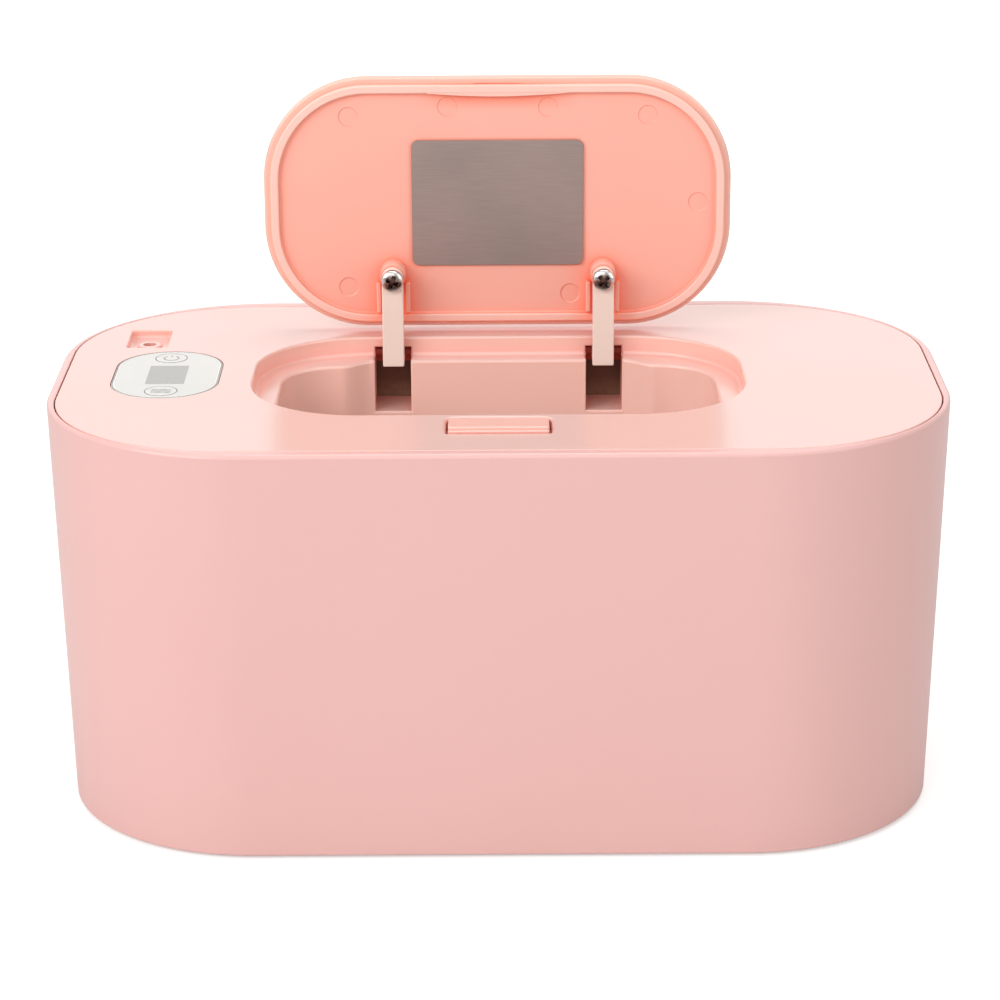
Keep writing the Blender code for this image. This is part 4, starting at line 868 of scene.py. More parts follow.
# Button plastic with painted shade in its corners and painted light on its walls
BUTTON_PINK = moulded(
    "button_pink", (240, 192, 179), (238, 189, 175), painted_corner_shade=(236, 168, 155), painted_wall_light=(252, 208, 196)
)
TANK_WHITE = moulded("tank_white", (240, 236, 230), (236, 231, 224), 0.36)
ARM_NYLON = moulded("arm_nylon", (252, 231, 218), (249, 226, 214), 0.34, grain=0.00002)
PIN_BROWN = moulded("hinge_pin", (196, 82, 64), (184, 76, 58), 0.5)
BLACK_PLASTIC = moulded("black_plastic", (32, 32, 34), (38, 37, 38), 0.45)
FOAM = moulded("touch_foam", (60, 60, 64), (50, 50, 54), 0.9, grain=0.0001)
LEAD_RED = moulded("lead_red", (180, 40, 35), (170, 36, 32), 0.4)
LEAD_WHITE = moulded("lead_white", (226, 226, 221), (220, 220, 214), 0.4)
BORDER_WHITE = printed("panel_border_white", (228, 229, 226))
LINE_GREY = printed("panel_line_grey", (112, 110, 106))
WINDOW_GREY = printed("display_window_grey", (156, 155, 150), 0.2)
DISPLAY_GREY = printed("display_face", (195, 194, 188), 0.2)
PANEL = uneven(
    "panel", (203, 204, 198), (208, 207, 202), (45, 2), (200, 3), (0.14, 0.18), (30, 2), PANEL_RIPPLE
)
RUBBER = uneven(
    "rubber", (158, 130, 124), (146, 118, 112), (900, 4), (400, 3), (0.75, 0.88), (2200, 3), RUBBER_GRAIN
)
ALUMINIUM = uneven(
    "aluminium_sheet",
    (205, 206, 208),
    (184.5, 185.4, 187.2),
    METAL_NOISE,
    (700, 4),
    (0.3, 0.4),
    METAL_GRAIN_NOISE,
    METAL_GRAIN,
    Metallic=1.0,
)
LABEL_SILVER = label_material()
BACKING = backing_material()
STEEL = screw_material()
BOARD_GREEN = tracked(
    "control_board",
    (38, 98, 58),
    (66, 138, 86),
    (260, 6, 1),
    (0.72, 0.8),
    (300, 3),
    (0.32, 0.42),
    BOARD_RELIEF,
    "DIAGONAL",
)
FILM_AMBER = tracked(
    "heating_film",
    (214, 140, 62),
    (168, 92, 48),
    (62, 1.5, 0),
    (0.45, 0.55),
    (240, 3),
    (0.26, 0.36),
    FILM_RELIEF,
    metallic=0.2,
)


# Base body


def drawn_in(height):
    """How far the outer wall is drawn in at a height, compared with its top edge."""
    return BODY_DRAFT * (TOP - height) / (TOP - SHELL_BOTTOM)


def disc_of(node):
    """The centre and radius of a round node, seen from above."""
    low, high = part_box(node)
    return ((low.x + high.x) / 2, (low.y + high.y) / 2), (high.x - low.x) / 2


def centres(kind, count):
    """Where the numbered nodes of one kind stand, seen from above."""
    return [disc_of(f"{kind}_{number}")[0] for number in range(1, count + 1)]


def make_shell():
    low = drawn_in(SHELL_BOTTOM)
    profile = bottom_edge(low, SHELL_BOTTOM, BOTTOM_ROUND) + top_edge(0, TOP, RIM_ROUND)
    shell = stack("shell", body, profile)
    ledge_under = LEDGE_TOP - LEDGE_THICKNESS
    hollow_bottom = SEAT_UNDER + BASE_SEAT_THICKNESS
    inside = [(drawn_in(height) + SHELL_WALL, height) for height in (hollow_bottom, ledge_under)]
    hollow = stack("hollow", body, inside)
    pocket = outline_of(PLATE_POCKET)
    mouth = stack("mouth", pocket, [(0, LEDGE_TOP)] + top_flare(0, TOP, RIM_INNER_ROUND))
    throat = plate("throat", pocket, ledge_under - OVERRUN, LEDGE_TOP + OVERRUN, LEDGE_WIDTH)
    underside = plate("underside", body, SHELL_BOTTOM - OVERRUN, SEAT_UNDER, low + BASE_WALL)
    seat_inset = low + BASE_WALL + BASE_SEAT
    seat_hole = plate("seat_hole", body, SEAT_UNDER - OVERRUN, hollow_bottom + OVERRUN, seat_inset)
    cut(shell, hollow, mouth, throat, underside, seat_hole)
    boss_top = SEAT_UNDER + BASE_BOSS_HEIGHT
    bore_top = boss_top - 2 * SEAT_GAP
    screws = centres("base_screw", 4)
    join(shell, *(cylinder("boss", BASE_BOSS_RADIUS, SEAT_UNDER, boss_top, at) for at in screws))
    cut(shell, *(cylinder("bore", BORE_RADIUS, SEAT_UNDER - OVERRUN, bore_top, at) for at in screws))
    place(shell, SHELL_PINK, "base", "shell_pink", "outer_shell")


def make_bottom_plate():
    """The base plate with its screw holes and pockets, and the feet that stand in them."""
    inset = drawn_in(SHELL_BOTTOM) + BASE_WALL + GROOVE
    bottom = pillow("bottom_plate", body, SHELL_BOTTOM, SHELL_BOTTOM + BASE_PLATE, PLATE_ROUND, inset)
    head_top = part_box("base_screw_1")[0].z
    hole_top = SHELL_BOTTOM + BASE_PLATE + OVERRUN
    sink_top = SHELL_BOTTOM + BASE_HEAD_SINK
    cutters = []
    for number in range(1, 5):
        at, radius = disc_of(f"base_screw_{number}")
        cutters.append(cylinder("sink", radius + SEAT_GAP, head_top - OVERRUN, sink_top, at))
        cutters.append(cylinder("hole", BORE_RADIUS, head_top, hole_top, at))
        node = f"rubber_foot_{number}"
        at, radius = disc_of(node)
        pocket_top = SHELL_BOTTOM + FOOT_POCKET
        cutters.append(cylinder("pocket", radius + SEAT_GAP, 0, pocket_top, at, CIRCLE_SIDES))
        low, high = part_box(node)
        profile = bottom_edge(0, low.z, FOOT_ROUND) + [(0, high.z)]
        place(stack(f"foot_{number}", circle(radius, at), profile), RUBBER, "base", "foot_rubber", node)
    cut(bottom, *cutters)
    place(bottom, SHELL_PINK, "base", "shell_pink", "base_plate")


def make_tank():
    pocket = outline_of(PLATE_POCKET)
    bottom = SEAT_UNDER + BASE_BOSS_HEIGHT + TANK_LIFT
    low = TANK_TOP_INSET + TANK_DRAFT
    tank = pillow("tank", pocket, FLANGE_UNDER, FLANGE_TOP, PLATE_ROUND, GROOVE)
    outside = bottom_edge(low, bottom, TANK_ROUND) + [(TANK_TOP_INSET, FLANGE_TOP - TANK_FLANGE / 2)]
    join(tank, stack("tub", pocket, outside))
    inner_round = TANK_ROUND - TANK_WALL
    inside = bottom_edge(low + TANK_WALL, bottom + TANK_WALL, inner_round)
    inside += top_flare(TANK_TOP_INSET + TANK_WALL, FLANGE_TOP, PLATE_ROUND)
    cut(tank, stack("hollow", pocket, inside))
    place(tank, TANK_WHITE, "base", "tank_white", "inner_tank")


# Screws


def cross_outline(length, width):
    """A function that draws a plus sign at any inset, for the drive of a screw."""

    def draw(inset):
        far = length / 2 - inset
        near = width / 2 - inset / 2
        corner = [(far, near), (near, near), (near, far)]
        points = []
        for turn in range(4):
            cosine = round(math.cos(turn * math.pi / 2))
            sine = round(math.sin(turn * math.pi / 2))
            points += [(x * cosine - y * sine, x * sine + y * cosine) for x, y in corner]
        return points

    return draw


def make_screw(name, node, body_name, sizes, turn):
    """A domed cross-drive screw. Its head hangs down and its shank points up, before the lid swings."""
    head, shank, head_height = sizes
    low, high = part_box(node)
    if body_name == "lid":
        corners = LID_OPEN.inverted() @ low, LID_OPEN.inverted() @ high
        low = Vector(min(pair) for pair in zip(*corners))
        high = Vector(max(pair) for pair in zip(*corners))
    length = high.z - low.z
    dome = head_height * (1 - DOME_SIDE)
    profile = []
    for step in range(DOME_STEPS):
        angle = (1 - step / DOME_STEPS) * math.pi / 2
        profile.append((head * (1 - max(math.cos(angle), DOME_FLAT)), dome * (1 - math.sin(angle))))
    profile += [(0, dome), (0, head_height), (head - shank, head_height)]
    profile += [(head - shank, length - shank), (head * (1 - DOME_FLAT), length)]
    screw = stack(name, circle(head), profile)
    cross = cross_outline(head * CROSS_LENGTH, head * CROSS_WIDTH)
    drive_profile = [(-head * CROSS_FLARE, -OVERRUN), (0, 0), (head * CROSS_TAPER, head_height * CROSS_DEPTH)]
    drive = stack("drive", cross, drive_profile)
    drive.data.transform(Matrix.Rotation(turn, 4, "Z"))
    cut(screw, drive)
    screw.data.transform(Matrix.Translation(((low.x + high.x) / 2, (low.y + high.y) / 2, low.z)))
    place(screw, STEEL, body_name, "screw_steel", node, sharp_above=SCREW_SHARP_ANGLE)


def make_screws():
    for name, node, body_name, count, sizes in SCREWS:
        for number in range(1, count + 1):
            make_screw(f"{name}_{number}", f"{node}_{number}", body_name, sizes, SCREW_TURN * number)
    for side, twist in ARM_SCREW_TURNS.items():
        make_screw(f"lid_screw_{side}", f"arm_screw_{side}", "lid", ARM_SCREW, math.radians(twist))


# Cover body


def slot_cutters(x):
    """The slot of one hinge arm with a rounded edge on each face that it goes through."""
    left, right = x - SLOT_WIDTH / 2, x + SLOT_WIDTH / 2
    floor = TOP - SLOT_FLOOR_SINK
    roof = TOP - SLOT_TOP_SINK
    slot = block("slot", (left, NECK_REAR - NECK_WALL, floor), (right, POCKET_REAR + OVERRUN, roof))
    cutters = [slot]
    for name, low, high, level, standing in (
        ("neck_flare", floor, LEDGE_LEVEL + OVERRUN, -NECK_REAR, True),
        ("wall_flare", LEDGE_LEVEL + SLOT_ROUND, roof, -RECESS_REAR, True),
        ("ledge_flare", NECK_REAR - OVERRUN, RECESS_REAR - SLOT_ROUND, LEDGE_LEVEL, False),
    ):
        flare = stack(name, rectangle((left, low), (right, high)), top_flare(-WELD, level, SLOT_ROUND))
        if standing:
            flare.data.transform(Matrix.Rotation(math.pi / 2, 4, "X"))
        cutters.append(flare)
    return cutters


def hinge_pocket_cutters():
    half = SLOT_WIDTH / 2
    relief_start = RECESS_REAR + RECESS_WALL + GROOVE
    cutters = []
    for side in (-1, 1):
        x = side * HINGE_X
        cutters += slot_cutters(x)
        low = (x - half, relief_start, SHAFT_Z)
        high = (x + half, POCKET_REAR + OVERRUN, TOP - POCKET_ROOF)
        cutters.append(block("relief", low, high))
        reach = half + POCKET_WALL + OVERRUN
        bore_radius = SHAFT_RADIUS + SEAT_GAP
        cutters.append(rod("shaft_bore", bore_radius, x - reach, x + reach, SHAFT_Y, SHAFT_Z, SMALL_SIDES))
    return cutters


def hinge_pocket_blocks():
    neck_outer = NECK_REAR + NECK_WALL
    floor = TOP - SLOT_FLOOR_SINK
    wall = SLOT_WIDTH / 2 + POCKET_WALL
    blocks = []
    for side in (-1, 1):
        x = side * HINGE_X
        low = (x - wall, neck_outer - NECK_WALL / 2, floor - POCKET_WALL)
        high = (x + wall, POCKET_REAR, PLATE_UNDER + PLATE / 2)
        blocks.append(block("pocket", low, high))
    return blocks


def button_outline(inset, front=0):
    """The button slot's outline at an inset, its front edge moved back if asked."""
    depth = BUTTON_SLOT_DEPTH - front
    centre = (0, BUTTON_Y + front / 2)
    return rounded(BUTTON_SLOT_WIDTH, depth, BUTTON_REAR_CORNER, centre, inset, BUTTON_FRONT_CORNER)


def inlet_outline(inset):
    return rounded(INLET_WIDTH, INLET_DEPTH, INLET_CORNER, (INLET_X, INLET_Y), inset)


def lens_outline(inset):
    return rounded(LENS_WIDTH, LENS_DEPTH, LENS_CORNER, (LENS_X, LENS_CENTRE_Y), inset)


def cover_solids(inside_plate, inlet_under, lens_floor):
    """What is joined to the cover's plate: skirt, bowl, neck, inlet, hinge pockets and screw bosses."""
    pocket = outline_of(PLATE_POCKET)
    skirt_profile = bottom_edge(SKIRT_INSET, SKIRT_END, SKIRT_ROUND) + [(SKIRT_INSET, inside_plate)]
    skirt = stack("skirt", pocket, skirt_profile)
    cut(skirt, plate("skirt_hollow", pocket, SKIRT_END - OVERRUN, TOP, SKIRT_INSET + SKIRT_WALL))
    ledge_under = LEDGE_LEVEL - LEDGE_PLATE
    bowl = plate("bowl", outline_of(RECESS), ledge_under, inside_plate, -RECESS_WALL)
    neck_profile = bottom_edge(-NECK_WALL, NECK_BOTTOM, SKIRT_ROUND)
    neck = stack("neck", well, neck_profile + [(-NECK_WALL, ledge_under + LEDGE_PLATE / 2)])
    inlet = plate("inlet", inlet_outline, inlet_under, inside_plate, -INLET_WALL)
    limit = plate("limit", pocket, inlet_under - OVERRUN, TOP, SKIRT_INSET)
    combine(inlet, "INTERSECT", [limit])
    bosses = [
        cylinder("boss", COVER_BOSS_RADIUS, SKIRT_END, inside_plate, at) for at in centres("cover_screw", 6)
    ]
    board_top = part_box("control_board")[1].z
    boss_top = lens_floor - (PLATE - LENS) / 4
    bosses += [
        cylinder("boss", BOARD_BOSS_RADIUS, board_top + SEAT_GAP, boss_top, at)
        for at in centres("board_screw", 2)
    ]
    return [skirt, bowl, neck, inlet, *hinge_pocket_blocks(), *bosses]


def cover_cutters(inlet_floor, lens_floor):
    """What is cut out of the cover, apart from the jack's hole."""
    inlet_profile = bottom_edge(0, inlet_floor, INLET_FILLET) + top_flare(0, TOP, INLET_ROUND)
    recess_profile = bottom_edge(0, LEDGE_LEVEL, RECESS_FILLET) + top_flare(0, TOP, RECESS_ROUND)
    well_profile = [(0, NECK_BOTTOM - OVERRUN)] + top_flare(0, LEDGE_LEVEL, WELL_ROUND)
    slot_profile = [(0, PLATE_UNDER - OVERRUN)] + top_flare(0, TOP, BUTTON_SLOT_ROUND)
    cutters = [
        stack("recess_cut", outline_of(RECESS), recess_profile),
        stack("well_cut", well, well_profile),
        stack("inlet_cut", inlet_outline, inlet_profile),
        stack("button_slot", button_outline, slot_profile),
        plate("lens_seat", lens_outline, lens_floor, TOP + OVERRUN, -LENS_MARGIN),
    ]
    low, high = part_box("display_module")
    near = (low.x - SEAT_GAP, low.y - SEAT_GAP, PLATE_UNDER - OVERRUN)
    far = (high.x + SEAT_GAP, high.y + SEAT_GAP, lens_floor + OVERRUN)
    cutters.append(block("display_window", near, far))
    half = HOOK_WIDTH / 2 + HOOK_WINDOW_MARGIN
    window_bottom = PLATE_UNDER - SEAT_GAP - BUTTON_FLANGE - BUTTON_TRAVEL - HOOK_WINDOW_MARGIN
    near = (-half, RECESS_FRONT - RECESS_WALL - OVERRUN, window_bottom)
    cutters.append(block("hook_window", near, (half, LID_FRONT, PLATE_UNDER)))
    for at in centres("cover_screw", 6):
        cutters.append(cylinder("bore", BORE_RADIUS, SKIRT_END - OVERRUN, SKIRT_END + COVER_BORE, at))
    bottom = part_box("control_board")[1].z - OVERRUN
    for at in centres("board_screw", 2):
        cutters.append(cylinder("bore", BOARD_SCREW_SHANK + SEAT_GAP, bottom, PLATE_UNDER, at))
    return cutters + hinge_pocket_cutters()


def make_cover():
    cover = pillow("cover", outline_of(PLATE_POCKET), PLATE_UNDER, TOP, PLATE_ROUND, GROOVE)
    inlet_floor = TOP - INLET_SINK
    inlet_under = inlet_floor - INLET_FLOOR
    lens_floor = TOP - LENS - SEAT_GAP
    join(cover, *cover_solids(PLATE_UNDER + PLATE / 2, inlet_under, lens_floor))
    cut(cover, *cover_cutters(inlet_floor, lens_floor))
    collar_level = inlet_floor + COLLAR_HEIGHT
    collar_profile = [(0, inlet_floor - INLET_FLOOR / 2)] + top_edge(0, collar_level, COLLAR_ROUND)
    jack = (INLET_X, JACK_Y)
    join(cover, stack("collar", circle(COLLAR_RADIUS, jack, SMALL_SIDES), collar_profile))
    hole_profile = [(0, inlet_under - OVERRUN)] + top_flare(0, collar_level, JACK_HOLE_ROUND)
    cut(cover, stack("jack_hole", circle(JACK_HOLE_RADIUS, jack, SMALL_SIDES), hole_profile))
    place(cover, COVER_PINK, "cover", "cover_pink", "top_cover")


def make_shaft():
    low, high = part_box("hinge_shaft")
    shaft = rod("shaft", SHAFT_RADIUS, low.x, high.x, SHAFT_Y, SHAFT_Z, CIRCLE_SIDES, SHARPEST)
    place(shaft, PIN_BROWN, "cover", "backing_brown", "hinge_shaft")


def make_under_pan():
    """The pan under the cover with its openings, and the heater plate and film below it."""
    pan_top = SKIRT_END - SEAT_GAP
    pan_bottom = pan_top - UNDER_COVER
    pan = pillow("under_pan", outline_of(PLATE_POCKET), pan_bottom, pan_top, PLATE_ROUND, SKIRT_INSET)
    stub_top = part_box("under_cover")[1].z
    seat_top = stub_top - POST_LENGTH / 2 - SEAT_GAP
    button = (0, BUTTON_Y)
    seat = cylinder("seat", SPRING_SEAT_RADIUS, pan_bottom + UNDER_COVER / 2, seat_top, button)
    join(pan, seat, cylinder("stub", POST_RADIUS, seat_top - OVERRUN, stub_top, button))
    below, above = pan_bottom - OVERRUN, pan_top + OVERRUN
    cutters = [plate("opening", well, below, above, -NECK_WALL - GROOVE)]
    cutters += [cylinder("hole", BORE_RADIUS, below, above, at) for at in centres("cover_screw", 6)]
    for node in ("thermal_fuse", "thermistor"):
        low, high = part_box(node)
        near = (low.x - SENSOR_MARGIN, low.y - SENSOR_MARGIN, below)
        cutters.append(block("window", near, (high.x + SENSOR_MARGIN, high.y + SENSOR_MARGIN, above)))
    cut(pan, *cutters)
    place(pan, TANK_WHITE, "cover", "tank_white", "under_cover")
    opening = NECK_WALL + GROOVE + SEAT_GAP
    inset_x = SKIRT_INSET + HEATER_INSET
    inset_y = SKIRT_INSET + HEATER_FRONT_INSET
    shape = (PLATE_WIDTH - 2 * inset_x, PLATE_DEPTH - 2 * inset_y, HEATER_CORNER, (0, PLATE_CENTRE_Y))
    for name, node, material, slot, inset in (
        ("heater_sheet", "heater_plate", ALUMINIUM, "heater_aluminium", 0),
        ("heater_film", "heating_film", FILM_AMBER, "film_copper", FILM_INSET),
    ):
        low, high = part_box(node)
        piece = plate(name, outline_of(shape), low.z, high.z, inset)
        cut(piece, plate("opening", well, low.z - OVERRUN, high.z + OVERRUN, -opening - inset))
        place(piece, material, "cover", slot, node)


def make_button():
    flange_top = PLATE_UNDER - SEAT_GAP
    flange_under = flange_top - BUTTON_FLANGE
    high = TOP + BUTTON_PROUD
    lip_top = high - BUTTON_STEP
    front = BUTTON_STEP
    button = stack(
        "button",
        lambda inset: button_outline(inset, front),
        [(BUTTON_SIDE_GAP, flange_under)] + top_edge(BUTTON_SIDE_GAP, high, BUTTON_ROUND),
    )
    lip_profile = [(BUTTON_SIDE_GAP, flange_under + BUTTON_FLANGE / 2)]
    lip = stack("lip", button_outline, lip_profile + top_edge(BUTTON_SIDE_GAP, lip_top, BUTTON_ROUND))
    half_x = BUTTON_SLOT_WIDTH / 2 + BUTTON_FLANGE_REACH
    half_y = BUTTON_SLOT_DEPTH / 2
    flange = block(
        "flange",
        (-half_x, BUTTON_Y - half_y - BUTTON_FLANGE_REACH, flange_under),
        (half_x, BUTTON_Y + half_y - BUTTON_SIDE_GAP, flange_top),
    )
    hook_low = (-HOOK_WIDTH / 2, BUTTON_Y, flange_under)
    hook = block("hook", hook_low, (HOOK_WIDTH / 2, LID_FRONT - SEAT_GAP, flange_top))
    post = cylinder("post", POST_RADIUS, flange_under - POST_LENGTH, flange_top, (0, BUTTON_Y))
    join(button, lip, flange, hook, post)
    rear = BUTTON_Y + BUTTON_SLOT_DEPTH / 2
    for vertex in button.data.vertices:
        if vertex.co.z > TOP:
            share = 1 - (rear - vertex.co.y) / BUTTON_SLOT_DEPTH
            vertex.co.z -= BUTTON_SLOPE * max(share, 0)
    place(button, BUTTON_PINK, "button", "cover_pink", "release_button")


# Control panel


def band(name, draw, inset, width, bottom, top):
    """A thin closed band between two insets of an outline."""
    ring = plate(name, draw, bottom, top, inset)
    return cut(ring, plate("inside", draw, bottom - OVERRUN, top + OVERRUN, inset + width))


def strip(name, points, width, bottom, top):
    """A thin line of ink of a given width along points in the plane."""
    left, right = [], []
    for i, point in enumerate(points):
        before = Vector(points[max(i - 1, 0)])
        after = Vector(points[min(i + 1, len(points) - 1)])
        along = (after - before).normalized()
        across = Vector((-along.y, along.x)) * width / 2
        left.append(tuple(Vector(point) + across))
        right.append(tuple(Vector(point) - across))
    outline = right + list(reversed(left))
    return plate(name, lambda inset: outline, bottom, top)


def arc_points(radius, centre, start, end, steps):
    angles = [math.radians(start + (end - start) * step / steps) for step in range(steps + 1)]
    return [(centre[0] + radius * math.cos(a), centre[1] + radius * math.sin(a)) for a in angles]


def make_power_icon(centre, bottom, top):
    """A generic open ring with a short bar at its gap."""
    ring = arc_points(ICON_RADIUS, centre, 90 + ICON_GAP, 450 - ICON_GAP, LIP_STEPS)
    icon = strip("key_rear_icon", ring, ICON_LINE, bottom, top)
    x, y = centre
    bar = [(x, y + ICON_RADIUS - ICON_BAR / 2), (x, y + ICON_RADIUS + ICON_BAR / 4)]
    return icon, strip("key_rear_bar", bar, ICON_LINE, bottom, top)


def make_heat_icon(centre, bottom, top):
    """Three generic waves, one above another."""
    waves = []
    for number in (-1, 0, 1):
        points = []
        for step in range(WAVE_STEPS + 1):
            share = step / WAVE_STEPS
            height = WAVE_HEIGHT / 2 * math.sin(share * 4 * math.pi)
            x = centre[0] + (share - 0.5) * WAVE_LENGTH
            points.append((x, centre[1] + number * WAVE_SPACING + height))
        waves.append(strip(f"key_front_wave_{number + 2}", points, ICON_LINE, bottom, top))
    return waves


def make_panel():
    lens = stack("panel", lens_outline, [(0, TOP - LENS)] + top_edge(0, TOP, LENS_ROUND))
    place(lens, PANEL, "cover", "panel_clear", "panel_lens")
    bottom, top = TOP - PRINT, TOP + PRINT
    pieces = [
        # A grey line just inside the lens's rounded edge is painted shade of the gap round the lens
        (band("panel_edge_shade", lens_outline, LENS_ROUND, EDGE_SHADE_WIDTH, bottom, top), LINE_GREY),
        (band("panel_border", lens_outline, BORDER_INSET, BORDER_WIDTH, bottom, top), BORDER_WHITE),
    ]
    window = outline_of((WINDOW_WIDTH, WINDOW_DEPTH, WINDOW_CORNER, (LENS_X, LENS_CENTRE_Y + WINDOW_BACK)))
    pieces.append((plate("display_window", window, bottom, top), WINDOW_GREY))
    for name, y in (("rear", KEY_SPACING), ("front", -KEY_SPACING)):
        centre = (LENS_X - KEY_OUTWARD, LENS_CENTRE_Y + y)
        draw = circle(KEY_RADIUS, centre)
        pieces.append((band(f"key_{name}_halo", draw, KEY_LINE, KEY_HALO, bottom, top), BORDER_WHITE))
        pieces.append((band(f"key_{name}_ring", draw, 0, KEY_LINE, bottom, top), LINE_GREY))
        make_icon = make_power_icon if name == "rear" else make_heat_icon
        pieces += [(piece, LINE_GREY) for piece in make_icon(centre, bottom, top)]
    for piece, material in pieces:
        place(piece, material, "cover", "panel_clear")


# Lid body


def make_lid_cap():
    band_level = TOP - LID_EDGE
    lid = outline_of(LID)
    profile = bottom_edge(LID_DRAFT, band_level, LID_LOWER_ROUND) + top_edge(0, TOP, LID_ROUND)
    cap = stack("lid_cap", lid, profile)
    pocket = plate("pocket", lid, band_level - OVERRUN, TOP - LID_SKIN, LID_BAND - SEAT_GAP)
    half = CATCH_LENGTH / 2
    band_rear = LID_FRONT + LID_BAND
    near = (-half, band_rear - CATCH_DEPTH, band_level - OVERRUN)
    catch = block("catch", near, (half, band_rear + OVERRUN, band_level + CATCH_RISE))
    cut(cap, pocket, catch)
    place(cap, LID_PINK, "lid", "lid_pink", "lid_outer")


def lip_outline(y):
    """A crescent: straight along the ring and bulging into the lid."""
    half = LIP_LENGTH / 2
    points = [(half, y), (half, y - RING_WIDTH / 2), (-half, y - RING_WIDTH / 2), (-half, y)]
    for step in range(1, LIP_STEPS):
        share = step / LIP_STEPS
        points.append((LIP_LENGTH * share - half, y + LIP_BULGE * math.sin(share * math.pi)))
    return list(reversed(points))


def ejector_mark(x, rise, face):
    """A shallow dish with a sloped edge that an ejector pin left in the liner's face."""
    draw = circle(MARK_RADIUS, (x, SHAFT_Y - rise), SMALL_SIDES)
    return stack("mark", draw, [(0, face - OVERRUN / 4), (0, face), (MARK_WIDTH, face + MARK_DEPTH)])


def make_liner():
    """The liner: floor, ring, the bosses that the arms are screwed to, their ribs and the lip."""
    lid = outline_of(LID)
    back = TOP - LID_SKIN - SEAT_GAP
    face = back - LINER
    ring_face = TOP - LID_EDGE - RING_PROUD
    arm_back = SHAFT_Z - ARM_OFFSET
    outside = LID_BAND - SEAT_GAP + WELD
    liner = stack("liner", lid, bottom_edge(outside, ring_face, RING_ROUND) + [(outside, back)])
    inside = LID_BAND + RING_WIDTH
    hollow = bottom_flare(inside, ring_face, RING_ROUND) + top_edge(inside, face, RING_FILLET)
    cut(liner, stack("hollow", lid, hollow))
    lip_y = LID_FRONT + LID_BAND + RING_WIDTH
    lip_points = lip_outline(lip_y)
    extras = [plate("lip", lambda inset: lip_points, ring_face + SHARPEST / 2, face + LINER / 2)]
    screw_y = SHAFT_Y - ARM_REACH
    bores = []
    for side in (-1, 1):
        x = side * ARM_X
        extras.append(cylinder("boss", ARM_BOSS_RADIUS, arm_back + SEAT_GAP, face + LINER / 2, (x, screw_y)))
        radius = ARM_SCREW_SHANK + SEAT_GAP
        bores.append(cylinder("bore", radius, arm_back - OVERRUN, face + LINER / 4, (x, screw_y)))
        for end in (-1, 1):
            low_x = x + end * (RIB_CHANNEL + RIB) / 2 - RIB / 2
            rear = LID_REAR - RIB_FROM_EDGE
            low = (low_x, rear - RIB_LENGTH, face - RIB_HEIGHT)
            extras.append(block("rib", low, (low_x + RIB, rear, face + LINER / 2), RIB_ROUND))
    join(liner, *extras)
    marks = [ejector_mark(x, rise, face) for x, rise in MARK_PLACES]
    cut(liner, *bores, *marks)
    place(liner, LINER_SALMON, "lid", "liner_salmon", "lid_inner")
    label_top = face - SEAT_GAP
    draw = outline_of((LABEL_WIDTH, LABEL_DEPTH, LABEL_CORNER, (0, LID_CENTRE_Y - LABEL_FORWARD)))
    label = pillow("label", draw, label_top - LABEL, label_top, LABEL_ROUND)
    place(label, LABEL_SILVER, "lid", "label_silver", "label_plate")


def make_arm(side, name):
    """A hooked arm: a strip under the lid, a foot behind the shaft and a barrel round it."""
    x = side * ARM_X
    half = ARM_WIDTH / 2
    top = SHAFT_Z - ARM_OFFSET
    bottom = top - ARM_THICKNESS
    front = SHAFT_Y - ARM_REACH - ARM_END
    rear = SHAFT_Y + ARM_TAIL
    centre = (x, (front + rear) / 2)

    def draw(inset):
        return rounded(ARM_WIDTH, rear - front, 2 * ARM_ROUND, centre, inset, half)

    arm = pillow(f"arm_{name}", draw, bottom, top, ARM_ROUND)
    foot = block("foot", (x - half, rear - ARM_THICKNESS, bottom), (x + half, rear, SHAFT_Z), ARM_ROUND)
    barrel = rod("barrel", BARREL_RADIUS, x - half, x + half, SHAFT_Y, SHAFT_Z, CIRCLE_SIDES, ARM_ROUND)
    join(arm, foot, barrel)
    reach = half + OVERRUN
    bore = rod("bore", SHAFT_RADIUS + SEAT_GAP, x - reach, x + reach, SHAFT_Y, SHAFT_Z, SMALL_SIDES)
    radius = ARM_SCREW_SHANK + SEAT_GAP
    hole = cylinder("hole", radius, bottom - OVERRUN, top + OVERRUN, (x, SHAFT_Y - ARM_REACH))
    cut(arm, bore, hole)
    place(arm, ARM_NYLON, "lid", "arm_nylon", f"hinge_arm_{name}")


# Nodes that keep their own shape and only get a finish


def finish_kept_nodes():
    for material, slot, *nodes in (
        (BACKING, "backing_brown", "slot_backing_left", "slot_backing_right"),
        (DISPLAY_GREY, "display_grey", "display_module"),
        (BOARD_GREEN, "board_green", "control_board"),
        (FOAM, "pad_foam", "touch_pad_front", "touch_pad_rear"),
        (BLACK_PLASTIC, "jack_black", "power_jack", "thermistor"),
        (LEAD_RED, "lead_red", "power_lead", "fuse_lead"),
        (LEAD_WHITE, "lead_white", "sensor_lead"),
        (STEEL, "screw_steel", "thermal_fuse", "button_spring"),
    ):
        for node in nodes:
            coat(frame["nodes"][node], material)


# Stage, light and camera


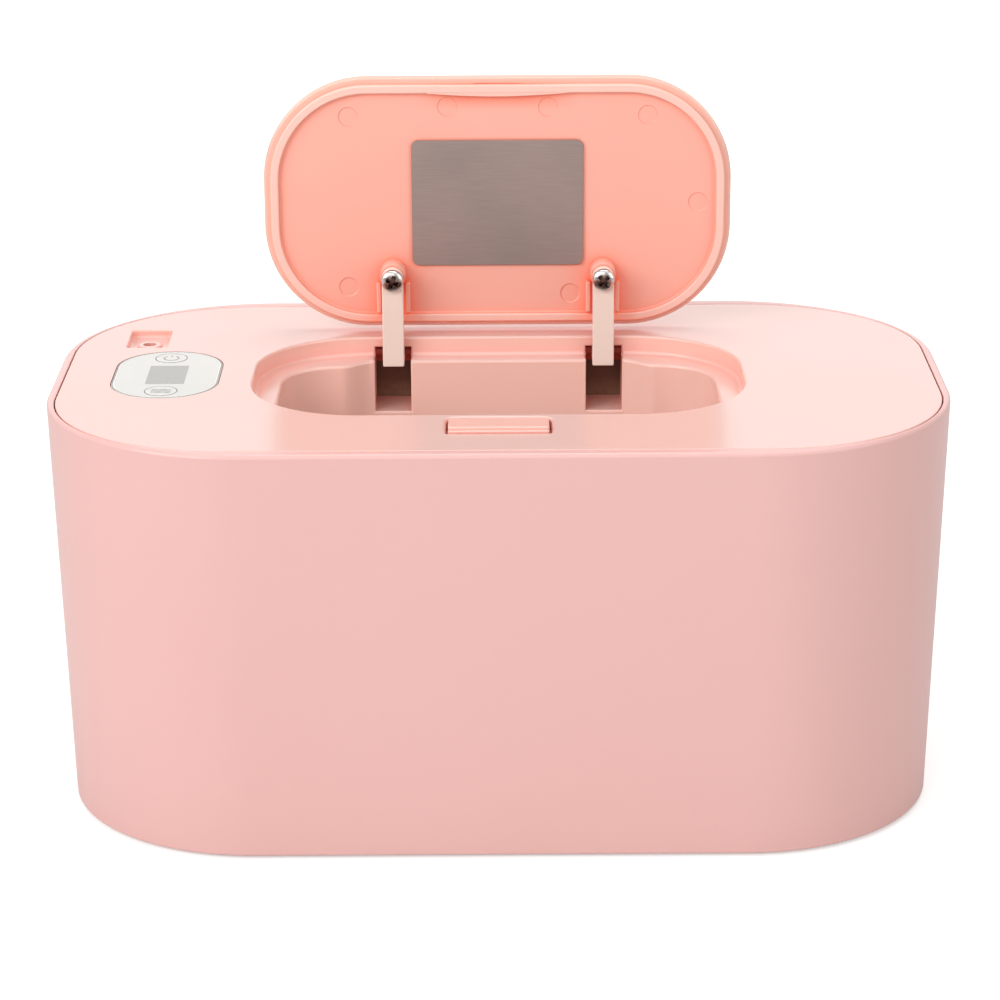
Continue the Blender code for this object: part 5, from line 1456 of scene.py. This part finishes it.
def make_floor():
    """A pale floor that shows as plain white and keeps the object's soft shadow."""
    shape = bmesh.new()
    bmesh.ops.create_grid(shape, x_segments=1, y_segments=1, size=FLOOR_REACH)
    floor = add_solid("floor", shape)
    material = bpy.data.materials.new("floor")
    nodes = Nodes(material)
    nodes.tree.nodes.clear()
    length = nodes.add("ShaderNodeVectorMath", {0: nodes.spot["Object"]}, operation="LENGTH")
    glow_here = nodes.ramp(length.outputs["Value"], FLOOR_GLOW, 1, SHADOW_REACH, SHADOW_END)
    seen = nodes.math("MULTIPLY", nodes.add("ShaderNodeLightPath").outputs["Is Camera Ray"], glow_here)
    diffuse = nodes.add("ShaderNodeBsdfDiffuse", {"Color": FLOOR_COLOUR})
    glow = nodes.add("ShaderNodeEmission", {"Color": WHITE, "Strength": seen})
    both = nodes.add("ShaderNodeAddShader", {0: diffuse.outputs["BSDF"], 1: glow.outputs["Emission"]})
    nodes.add("ShaderNodeOutputMaterial", {"Surface": both.outputs["Shader"]})
    floor.data.materials.append(material)


def make_world():
    """White where the camera and the gloss look, and a soft even light on everything else."""
    world = bpy.data.worlds.new("studio")
    bpy.context.scene.world = world
    nodes = Nodes(world)
    path = nodes.add("ShaderNodeLightPath").outputs
    seen = nodes.math("MAXIMUM", path["Is Camera Ray"], path["Is Glossy Ray"])
    background = nodes.tree.nodes["Background"]
    nodes.put(background.inputs["Color"], WHITE)
    nodes.put(background.inputs["Strength"], nodes.ramp(seen, WORLD_LIGHT, 1, 0, 1))


def make_lamps():
    for name, place_at, size, power in LAMPS:
        data = bpy.data.lights.new(name, "AREA")
        data.shape = "RECTANGLE"
        data.size, data.size_y = size
        data.energy = power
        lamp = add_object(name, data)
        lamp.location = place_at
        lamp.rotation_mode = "QUATERNION"
        aim = Vector((0, 0, TOP / 2)) - Vector(place_at)
        lamp.rotation_quaternion = aim.to_track_quat("-Z", "Y")


def make_camera():
    data = bpy.data.cameras.new("camera")
    data.sensor_width = SENSOR
    data.lens = FOCAL_PIXELS * SENSOR / PHOTO_SIZE
    data.clip_start = NEAREST_SEEN
    camera = add_object("camera", data)
    camera.matrix_world = (
        Matrix.Translation(CAMERA_PLACE)
        @ Matrix.Rotation(math.pi / 2 - CAMERA_DOWN, 4, "X")
        @ Matrix.Rotation(CAMERA_ROLL, 4, "Z")
    )
    bpy.context.scene.camera = camera
    bpy.context.scene.view_settings.view_transform = "Standard"


make_camera()
make_shell()
make_bottom_plate()
make_tank()
make_cover()
make_shaft()
make_under_pan()
make_button()
make_panel()
make_lid_cap()
make_liner()
make_arm(-1, "left")
make_arm(1, "right")
make_screws()
finish_kept_nodes()
make_floor()
make_world()
make_lamps()
